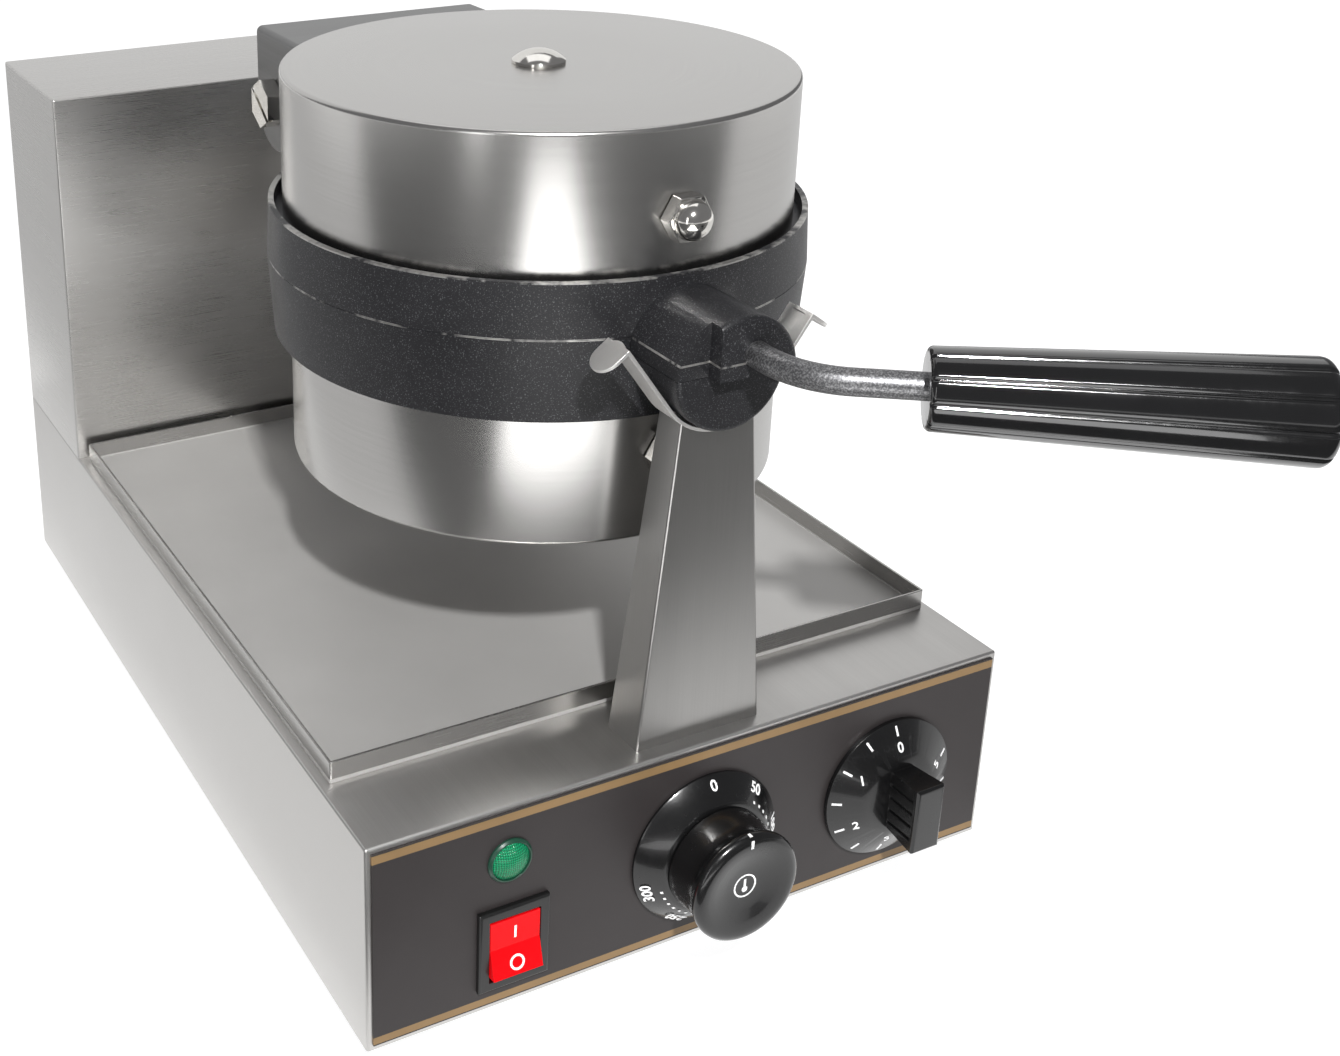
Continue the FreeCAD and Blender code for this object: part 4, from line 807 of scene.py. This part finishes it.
class CONEMAKER_OT_stand(PieceOperator, bpy.types.Operator):
    """Base, tower, post, cradle and drip tray in brushed sheet"""
    bl_idname = "conemaker.stand"
    bl_label = "Stand and tray"

    def make(self, sizes):
        clad("base_shell", "base", "stainless", along=1)
        clad("tower_shell", "sheet", "stainless", along=0)
        clad("tower_back_cover", "sheet", "stainless", along=0)
        clad("front_post", "post", "stainless", along=2)
        clad("cradle_clip", "clip", "stainless", 0.15 * MM, along=2)
        clad("drip_tray", "tray", "stainless", 0.25 * MM, along=1)
        clad("bottom_plate", "zinc", "galvanised", FINE_EDGE)
        clad("rubber_feet", "rubber", "rubber", 0.6 * MM)


class CONEMAKER_OT_castings(PieceOperator, bpy.types.Operator):
    """The two coated cooking plates with their rims, boss and handle socket"""
    bl_idname = "conemaker.castings"
    bl_label = "Cast plates"

    def make(self, sizes):
        clad("upper_plate", "casting", "black_cast", BROAD_EDGE)
        clad("lower_plate", "casting", "black_cast", BROAD_EDGE)


class CONEMAKER_OT_casings(PieceOperator, bpy.types.Operator):
    """The drawn steel casings over the plates"""
    bl_idname = "conemaker.casings"
    bl_label = "Casings"

    wall: length_prop("Wall", "Sheet thickness", 0.8)
    fold: length_prop("Fold", "Radius of the rim", 1.6)
    bends: count_prop("Bends", "Faces round the folded rim", 8)

    def cup(self, node):
        low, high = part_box(node)
        radius = (high.x - low.x) / 2
        height = high.z - low.z
        inner = radius - self.wall
        rim = []
        for n in range(self.bends + 1):
            turn = math.pi / 2 * n / self.bends
            rim.append((radius - self.fold * (1 - math.cos(turn)),
                        height - self.fold * (1 - math.sin(turn))))
        outside = [(inner, 0), (radius, 0)] + rim + [(radius * 0.5, height), (0, height)]
        return outside + [(0, height - self.wall), (inner, height - self.wall), (inner, 0)]

    def make(self, sizes):
        for node, direction, edge in (("upper_casing", 1, 0), ("lower_casing", -1, 1)):
            centre = head_axis() + Vector((0, 0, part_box(node)[edge].z))
            turned_piece(node + "_skin", node, "casing", "stainless", self.cup(node), centre,
                         Vector((0, 0, direction)))


class CONEMAKER_OT_fasteners(PieceOperator, bpy.types.Operator):
    """Screws, nuts and bushes that show on the outside"""
    bl_idname = "conemaker.fasteners"
    bl_label = "Fasteners"

    nut_growth: number_prop("Cap nut growth", "Width of a cap nut over its solid", 1.12)

    def make(self, sizes):
        for node in ("upper_casing_screw", "lower_casing_screw", "hinge_screws", "back_cover_screws",
                     "post_screws", "housing_screws", "flange_screws", "yoke_screws", "bracket_screws",
                     "foot_screws", "foot_nuts", "tower_screws"):
            clad(node, "bright", "bright_screws", FINE_EDGE)
        for node in ("upper_cap_nut", "lower_cap_nut"):
            clad(node, "bright", "chrome_nut", BROAD_EDGE, growth=(self.nut_growth, self.nut_growth))
        clad("front_bush", "bronze", "bronze", FINE_EDGE)
        clad("rear_bush", "bronze", "bronze", FINE_EDGE)


class CONEMAKER_OT_hinge(PieceOperator, bpy.types.Operator):
    """Hinge bracket, yoke and turning shaft"""
    bl_idname = "conemaker.hinge"
    bl_label = "Hinge and shaft"

    def make(self, sizes):
        clad("hinge_bracket", "bracket", "bracket_steel", along=0)
        clad("hinge_yoke", "zinc", "galvanised", along=0)
        clad("rotary_shaft", "turned", "shaft_steel", FINE_EDGE)
        clad("shaft_collar", "turned", "shaft_steel", FINE_EDGE)
        clad("bearing_housing", "zinc", "housing_metal", BROAD_EDGE)


class CONEMAKER_OT_handle(PieceOperator, bpy.types.Operator):
    """The bent rod and its fluted grip"""
    bl_idname = "conemaker.handle"
    bl_label = "Handle"

    heading: angle_prop("Heading", "Turn of the grip away from straight ahead", 54.6)
    grip: length_prop("Length", "Of the grip", 109.0)
    near: length_prop("Near radius", "At the rod", 12.4)
    far: length_prop("Far radius", "At the end", 15.8)
    near_round: length_prop("Near round", "Rounding of the grip's edge at the rod", 1.6)
    far_round: length_prop("Far round", "Rounding of the grip's end", 3.4)
    around: count_prop("Points around", "Grid points round the grip", 241)
    along: count_prop("Points along", "Grid points along the grip", 90)

    def make(self, sizes):
        clad("handle_rod", "rod", "rod_steel", 0)
        way = Vector((math.sin(self.heading), -math.cos(self.heading), 0))
        mesh = fluted_grip_tree().grown(
            "handle_grip_skin", length=self.grip, near_radius=self.near, far_radius=self.far,
            near_round=self.near_round, far_round=self.far_round, flutes=float(sizes.grip_flutes),
            groove=sizes.grip_groove, around=self.around, along=self.along, finish=FINISHES["grip"])
        low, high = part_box("handle_grip")
        start = Vector((high.x - abs(way.y) * self.far - way.x * self.grip, high.y - abs(way.x) * self.near,
                        (low.z + high.z) / 2))
        mesh.transform(pointing(start, way))
        new_piece("handle_grip_skin", mesh, "grip", "lid", "black_bakelite", "handle_grip")


class CONEMAKER_OT_panel(PieceOperator, bpy.types.Operator):
    """The striped control panel"""
    bl_idname = "conemaker.panel"
    bl_label = "Control panel"

    def make(self, sizes):
        clad("control_panel", "panel", "panel_film", 0.1 * MM)


class CONEMAKER_OT_lamp(PieceOperator, bpy.types.Operator):
    """The green pilot lamp"""
    bl_idname = "conemaker.lamp"
    bl_label = "Pilot lamp"

    def make(self, sizes):
        clad("pilot_lamp_body", "lamp_rim", "lamp_bezel", FINE_EDGE)
        clad("pilot_lamp_lens", "lens", "green_lens", 0)


class CONEMAKER_OT_switch(PieceOperator, bpy.types.Operator):
    """The lit rocker switch with its on and off marks"""
    bl_idname = "conemaker.switch"
    bl_label = "Rocker switch"

    bar_height: length_prop("Bar", "Height of the on mark", 4.6)
    ring_radius: length_prop("Ring", "Radius of the off mark", 2.3)
    line: length_prop("Line", "Width of the marks", 0.8)

    def make(self, sizes):
        clad("switch_housing", "bezel", "black_plastic", BROAD_EDGE)
        clad("switch_rocker", "red", "red_plastic", 0.35 * MM)
        low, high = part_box("switch_rocker")
        middle_z = middle("switch_housing").z
        lift = sizes.mark_lift
        bar = box_mesh("on_mark", (self.line, self.bar_height, 2 * lift))
        ring = turned_mesh("off_mark", band_profile(self.ring_radius, self.line, -lift, lift), Vector(),
                           Vector((0, 0, 1)), MARK_STEPS)
        bar.transform(self.on_face("switch_rocker", (middle_z + high.z) / 2))
        ring.transform(self.on_face("switch_rocker", (middle_z + low.z) / 2))
        mark_piece("switch_marks", "rocker", bar, ring)

    @staticmethod
    def on_face(node, z):
        """A place on a node's front face at height z, with its own Z axis out of that face."""
        mesh = frame["nodes"][node].data
        skin = BVHTree.FromPolygons([v.co for v in mesh.vertices], [f.vertices for f in mesh.polygons])
        start = Vector((middle(node).x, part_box(node)[0].y - 1, z))
        spot, normal, _, _ = skin.ray_cast(start, -FACE_FRONT)
        across = Vector((1, 0, 0))
        return standing(spot, across, normal.cross(across), normal)


# The thermostat's ring: its cone and its marks as shares of its radius
TEMPERATURES = ("50", "100", "150", "200", "250", "300")
RING_BORE = 6.0 * MM
RING_EDGE = 1.3 * MM
RING_ROUND = 0.5 * MM
RING_FOOT = 0.6 * MM
RING_LIP = 0.4 * MM
CONE_TOP = 0.745
RING_TOP = 0.70
NUMBER_RING = 0.865
NUMBER_SHIFT = 1.2 * MM
NUMBER_SINK = 0.6 * MM
DOT_RING = 0.775
DOT_SINK = 1.0 * MM
# The thermostat's knob: its curves as shares of its radius and length
KNOB_BORE = 3.05 * MM
KNOB_WAIST = 0.95
KNOB_NECK = ((0.985, 0.25), (0.965, 0.45), (0.965, 0.55), (0.985, 0.66))
KNOB_CAP = ((0.955, 0.74), (0.99, 0.80), (1.0, 0.86), (0.985, 0.925), (0.93, 0.978), (0.85, 1.0),
            (0.76, 0.992), (0.62, 0.955), (0.46, 0.905), (0.30, 0.872), (0.14, 0.858), (0.0, 0.856))
# The knob's thermometer sign and its pointer
SIGN_STEPS = 64
SIGN_RADIUS = 4.1 * MM
SIGN_LINE = 0.6 * MM
SIGN_BULB = 1.1 * MM
SIGN_DROP = 1.4 * MM
STEM_WIDTH = 0.9 * MM
STEM_LENGTH = 4.0 * MM
STEM_RISE = 0.5 * MM
POINTER_WIDTH = 1.0 * MM
POINTER_DEPTH = 1.6 * MM
POINTER_LENGTH = 3.0 * MM
MARK_PROUD = 0.1 * MM
# Places over the knob's axis, as shares of its length and radius
POINTER_PLACE = (0.90, 0.995)
LINE_PLACE = (0.998, 0.87)


class CONEMAKER_OT_thermostat(PieceOperator, bpy.types.Operator):
    """The thermostat's numbered ring and its dished knob"""
    bl_idname = "conemaker.thermostat"
    bl_label = "Thermostat"

    first: angle_prop("First number", "Angle of the lowest number past zero", 42.0)
    last: angle_prop("Last number", "Angle of the highest number", 250.0)
    number_height: length_prop("Numbers", "Height of the numbers", 5.2)
    dot: length_prop("Dot", "Size of a scale dot", 0.9)
    dots: count_prop("Dots", "Scale dots between the lowest and the highest number", 26)
    knob_growth: number_prop("Knob growth", "Width over the solid", 1.07)

    def ring_profile(self, radius, height):
        return [(RING_BORE, 0), (radius - RING_FOOT, 0), (radius, RING_ROUND), (radius, RING_EDGE),
                (radius - RING_LIP, RING_EDGE + RING_ROUND), (radius * CONE_TOP, height - RING_ROUND),
                (radius * RING_TOP, height), (RING_BORE, height), (RING_BORE, 0)]

    def knob_profile(self, radius, length):
        neck = radius * KNOB_WAIST
        foot = [(KNOB_BORE, 0), (neck - 0.3 * MM, 0), (neck, 0.4 * MM)]
        return (foot + [(neck * r, length * h) for r, h in KNOB_NECK]
                + [(radius * r, length * h) for r, h in KNOB_CAP])

    def make(self, sizes):
        seat, radius, height = round_control("thermostat_dial_ring")
        turned_piece("thermostat_ring_skin", "thermostat_dial_ring", "knob", "black_plastic",
                     self.ring_profile(radius, height), seat, FACE_FRONT)
        lift = sizes.mark_lift
        slope = math.atan2(radius * (1 - CONE_TOP), height - RING_EDGE - 2 * RING_ROUND)
        span = self.last - self.first
        steps = len(TEMPERATURES) - 1
        numbers = [("0", 0.0)] + [(text, math.degrees(self.first + span * n / steps))
                                  for n, text in enumerate(TEMPERATURES)]
        depth = seat.y - (height + RING_EDGE) / 2 + NUMBER_SINK
        marks = dial_numbers("thermostat_numbers", numbers, seat, depth, radius * NUMBER_RING + NUMBER_SHIFT,
                             math.pi / 2 - slope, self.number_height, lift)
        dots = mark_ring_tree().grown(
            "thermostat_dots", count=self.dots, first_angle=self.first, step_angle=span / (self.dots - 1),
            radius=radius * DOT_RING, slope=slope - math.pi / 2,
            bar=(self.dot, 2 * lift, self.dot), finish=FINISHES["mark"])
        dots.transform(Matrix.Translation((seat.x, seat.y - height + DOT_SINK - lift, seat.z)))
        mark_piece("thermostat_marks", "stand", marks, dots)
        self.make_knob(lift)

    def make_knob(self, lift):
        seat, radius, length = round_control("thermostat_knob")
        radius *= self.knob_growth
        turned_piece("thermostat_knob_skin", "thermostat_knob", "knob", "black_plastic",
                     self.knob_profile(radius, length), seat, FACE_FRONT)
        dish = seat + FACE_FRONT * (length * KNOB_CAP[-1][1])
        thick = 2 * lift + MARK_PROUD
        circle = turned_mesh("knob_circle", band_profile(SIGN_RADIUS, SIGN_LINE, -lift, lift + MARK_PROUD),
                             dish, FACE_FRONT, SIGN_STEPS)
        bulb = turned_mesh("knob_bulb", [(0, -lift), (SIGN_BULB, -lift), (SIGN_BULB, lift), (0, lift)],
                           dish - Vector((0, 0, SIGN_DROP)), FACE_FRONT, SIGN_STEPS // 2)
        stem = box_mesh("knob_stem", (STEM_WIDTH, 2 * lift, STEM_LENGTH), dish + Vector((0, 0, STEM_RISE)))

        def on_knob(along, out):
            return seat + Vector((0, -length * along, radius * out))

        pointer = box_mesh("knob_pointer", (POINTER_WIDTH, POINTER_DEPTH, thick), on_knob(*POINTER_PLACE))
        face_line = box_mesh("knob_line", (POINTER_WIDTH, thick, POINTER_LENGTH), on_knob(*LINE_PLACE))
        mark_piece("thermostat_knob_marks", "thermostat_control", circle, bulb, stem, pointer, face_line)


class CONEMAKER_OT_timer(PieceOperator, bpy.types.Operator):
    """The timer knob with its minute marks"""
    bl_idname = "conemaker.timer"
    bl_label = "Timer"

    step: angle_prop("Minute", "Angle from one minute mark to the next", 58.0)
    skirt: length_prop("Skirt", "Height of the skirt", 8.0)
    rim: length_prop("Rim", "Height of the skirt's straight edge", 1.6)
    top_radius: length_prop("Top radius", "Radius of the skirt's upper edge", 14.5)
    grip_gap: length_prop("Grip gap", "From the skirt to where the grip widens", 0.5)
    grip_width: number_prop("Grip width", "Width of the grip over its solid", 1.25)
    grip_height: number_prop("Grip height", "Height of the grip over its solid", 1.10)
    minutes: count_prop("Minutes", "Longest time on the dial", 5)
    number_height: length_prop("Numbers", "Height of the numbers", 5.0)
    number_inset: length_prop("Number inset", "From the skirt's edge to the numbers", 8.2)
    upright: number_prop("Upright", "Share by which the numbers are turned back upright", 0.85)
    tick_inset: length_prop("Tick inset", "From the skirt's edge to the ticks", 2.9)
    tick_width: length_prop("Tick width", "Width of a tick", 0.8)
    tick_length: length_prop("Tick length", "Length of a tick", 3.6)

    def make(self, sizes):
        seat, radius, _ = round_control("timer_knob")
        clad("timer_knob", "knob", "black_plastic", 0.8 * MM, growth=(self.grip_width, self.grip_height),
             limit=seat.y - self.skirt - self.grip_gap)
        lift = sizes.mark_lift
        rise = self.skirt - self.rim
        slope = math.atan2(radius - self.top_radius, rise)

        def depth(r):
            return seat.y - self.rim - (radius - r) * rise / (radius - self.top_radius)

        number_r = radius - self.number_inset
        numbers = [(str(n), -math.degrees(self.step) * n) for n in range(self.minutes + 1)]
        marks = dial_numbers("timer_numbers", numbers, seat, depth(number_r), number_r,
                             math.pi / 2 - slope, self.number_height, lift, self.upright)
        tick_r = radius - self.tick_inset
        ticks = mark_ring_tree().grown(
            "timer_ticks", count=2 * self.minutes + 1, first_angle=0.0, step_angle=-self.step / 2,
            radius=tick_r, slope=slope - math.pi / 2, bar=(self.tick_width, 2 * lift, self.tick_length),
            finish=FINISHES["mark"])
        ticks.transform(Matrix.Translation((seat.x, depth(tick_r) - lift, seat.z)))
        mark_piece("timer_marks", "timer_control", marks, ticks)


class CONEMAKER_OT_inner(PieceOperator, bpy.types.Operator):
    """Pieces inside the base, the tower and the casings"""
    bl_idname = "conemaker.inner"
    bl_label = "Inner pieces"

    def make(self, sizes):
        for node, finish, slot in (
                ("thermostat_body", "pale", "white_plastic"), ("timer_body", "bezel", "black_plastic"),
                ("thermostat_spindle", "turned", "shaft_steel"), ("timer_spindle", "turned", "shaft_steel"),
                ("terminal_block", "pale", "white_plastic"), ("cable_gland", "bezel", "black_plastic"),
                ("gland_nut", "bezel", "black_plastic"), ("upper_strap", "zinc", "galvanised"),
                ("lower_strap", "zinc", "galvanised"), ("upper_heater", "heater", "heater_steel"),
                ("lower_heater", "heater", "heater_steel"), ("upper_insulation", "wool", "mineral_wool"),
                ("lower_insulation", "wool", "mineral_wool")):
            clad(node, finish, slot, FINE_EDGE)


# Cards: name, size, place, facing, spin in degrees, grey, glow
UP = (0, 0, 1)
CARDS = (
    ("back_card", (7.0, 3.6), (0.6, 3.2, 1.9), (-0.6, -3.2, -1.7), 0, 0.0, 0.80),
    ("front_flag", (3.8, 2.4), (-0.436, -1.418, 0.001), UP, -26.6, 0.03, 0.03),
    ("left_flag", (0.9, 2.2), (-0.60, 0.695, 0.0008), UP, -12.2, 0.20, 0.42),
    ("near_left_flag", (1.1, 1.3), (-0.69, -0.25, 0.0006), UP, 0, 0.20, 0.66),
    ("right_flag", (1.3, 1.8), (0.80, -0.10, 0.0006), UP, 0, 0.20, 0.55),
    ("casing_strip", (0.36, 1.0), (-0.345, -0.878, 0.003), UP, -26.5, 0.0, 3.0),
)
# Lamps: name, place, aim, size, power in watts
LAMPS = (
    ("key", (-0.56, -1.48, 1.66), (0, -0.05, 0.15), (0.10, 0.10), 51.0),
    ("overhead", (0.3, 0.5, 2.1), (0, 0, 0.15), (1.6, 1.0), 5.0),
    ("left_card", (-1.6, -1.2, 0.5), (0, 0, 0.2), (0.25, 1.2), 3.0),
)
SKY = (0.36, 0.36, 0.37, 1)
SKY_STRENGTH = 0.5
FLOOR_GREY = 0.16
FLOOR_GLOW = 0.95


class CONEMAKER_OT_stage(PieceOperator, bpy.types.Operator):
    """Floor, soft lights and the camera"""
    bl_idname = "conemaker.stage"
    bl_label = "Stage"

    azimuth: angle_prop("Azimuth", "Camera's turn from straight ahead", 26.5)
    elevation: angle_prop("Elevation", "Camera's height over the horizon", 20.66)
    place: bpy.props.FloatVectorProperty(name="Place", description="Where the camera stands", size=3,
                                         subtype="TRANSLATION", default=(-0.30947, -0.59521, 0.43562))
    lens: bpy.props.FloatProperty(name="Lens", description="Focal length", default=48.28, unit="CAMERA")
    shift: bpy.props.FloatVectorProperty(name="Shift", description="Lens shift", size=2,
                                         default=(0.187, -0.1768))
    floor: length_prop("Floor", "Side of the floor", 12000.0)

    def make(self, sizes):
        self.make_floor()
        self.make_lights()
        self.make_camera()
        settings = bpy.context.scene.view_settings
        settings.view_transform = "Standard"
        settings.look = "None"

    def paint(self, piece, tone, glow):
        """A matte grey with a white glow, for what isn't part of the object."""
        finish = Finish(piece.name, Roughness=0.9, Emission_Strength=glow)
        finish.feed("Base Color", (tone, tone, tone, 1))
        finish.feed("Emission Color", (1, 1, 1, 1))
        piece.data.materials.append(finish.material)

    def make_floor(self):
        work = bmesh.new()
        bmesh.ops.create_grid(work, x_segments=1, y_segments=1, size=self.floor / 2)
        self.paint(linked("floor", made_mesh("floor", work)), FLOOR_GREY, FLOOR_GLOW)

    def make_card(self, name, size, place, facing, spin, tone, glow):
        """A plain card that only the metal shows, in its reflections."""
        mesh = box_mesh(name, (*size, MM))
        mesh.transform(pointing(place, Vector(facing)) @ Matrix.Rotation(math.radians(spin), 4, "Z"))
        card = linked(name, mesh)
        card.visible_camera = False
        card.visible_shadow = False
        self.paint(card, tone, glow)

    def make_lamp(self, name, place, aim, size, power):
        lamp = bpy.data.lights.new(name, "AREA")
        lamp.shape = "RECTANGLE"
        lamp.size, lamp.size_y = size
        lamp.energy = power
        holder = linked(name, lamp)
        holder.location = place
        holder.rotation_euler = (Vector(aim) - Vector(place)).to_track_quat("-Z", "Y").to_euler()

    def make_lights(self):
        world = bpy.data.worlds.new("studio")
        bpy.context.scene.world = world
        world.use_nodes = True
        background = world.node_tree.nodes["Background"]
        background.inputs[0].default_value = SKY
        background.inputs[1].default_value = SKY_STRENGTH
        for card in CARDS:
            self.make_card(*card)
        for lamp in LAMPS:
            self.make_lamp(*lamp)

    def make_camera(self):
        data = bpy.data.cameras.new("camera")
        data.sensor_width = 36.0
        data.lens = self.lens
        data.shift_x, data.shift_y = self.shift
        data.clip_start = 0.01
        camera = linked("camera", data)
        camera.location = self.place
        level = math.cos(self.elevation)
        look = Vector((math.sin(self.azimuth) * level, math.cos(self.azimuth) * level,
                       -math.sin(self.elevation)))
        camera.rotation_euler = look.to_track_quat("-Z", "Y").to_euler()
        bpy.context.scene.camera = camera


OPERATORS = (
    CONEMAKER_OT_stand, CONEMAKER_OT_castings, CONEMAKER_OT_casings, CONEMAKER_OT_fasteners,
    CONEMAKER_OT_hinge, CONEMAKER_OT_handle, CONEMAKER_OT_panel, CONEMAKER_OT_lamp, CONEMAKER_OT_switch,
    CONEMAKER_OT_thermostat, CONEMAKER_OT_timer, CONEMAKER_OT_inner, CONEMAKER_OT_stage)


class CONEMAKER_PT_panel(bpy.types.Panel):
    """Lists the operators and the sizes and colours they use"""
    bl_idname = "CONEMAKER_PT_panel"
    bl_label = "Cone maker"
    bl_space_type = "VIEW_3D"
    bl_region_type = "UI"
    bl_category = "Cone maker"

    def draw(self, context):
        for operator in OPERATORS:
            self.layout.operator(operator.bl_idname)
        for group in (context.scene.cone_maker_sizes, context.scene.cone_maker_colours):
            for name in group.bl_rna.properties.keys():
                if name not in ("rna_type", "name"):
                    self.layout.prop(group, name)


CLASSES = (ConeMakerSizes, ConeMakerColours) + OPERATORS + (CONEMAKER_PT_panel,)


def register():
    for cls in CLASSES:
        bpy.utils.register_class(cls)
    bpy.types.Scene.cone_maker_sizes = bpy.props.PointerProperty(type=ConeMakerSizes)
    bpy.types.Scene.cone_maker_colours = bpy.props.PointerProperty(type=ConeMakerColours)


def unregister():
    del bpy.types.Scene.cone_maker_colours
    del bpy.types.Scene.cone_maker_sizes
    for cls in reversed(CLASSES):
        bpy.utils.unregister_class(cls)


def main():
    register()
    for operator in OPERATORS:
        group, name = operator.bl_idname.split(".")
        getattr(getattr(bpy.ops, group), name)()


if __name__ == "__main__":
    main()
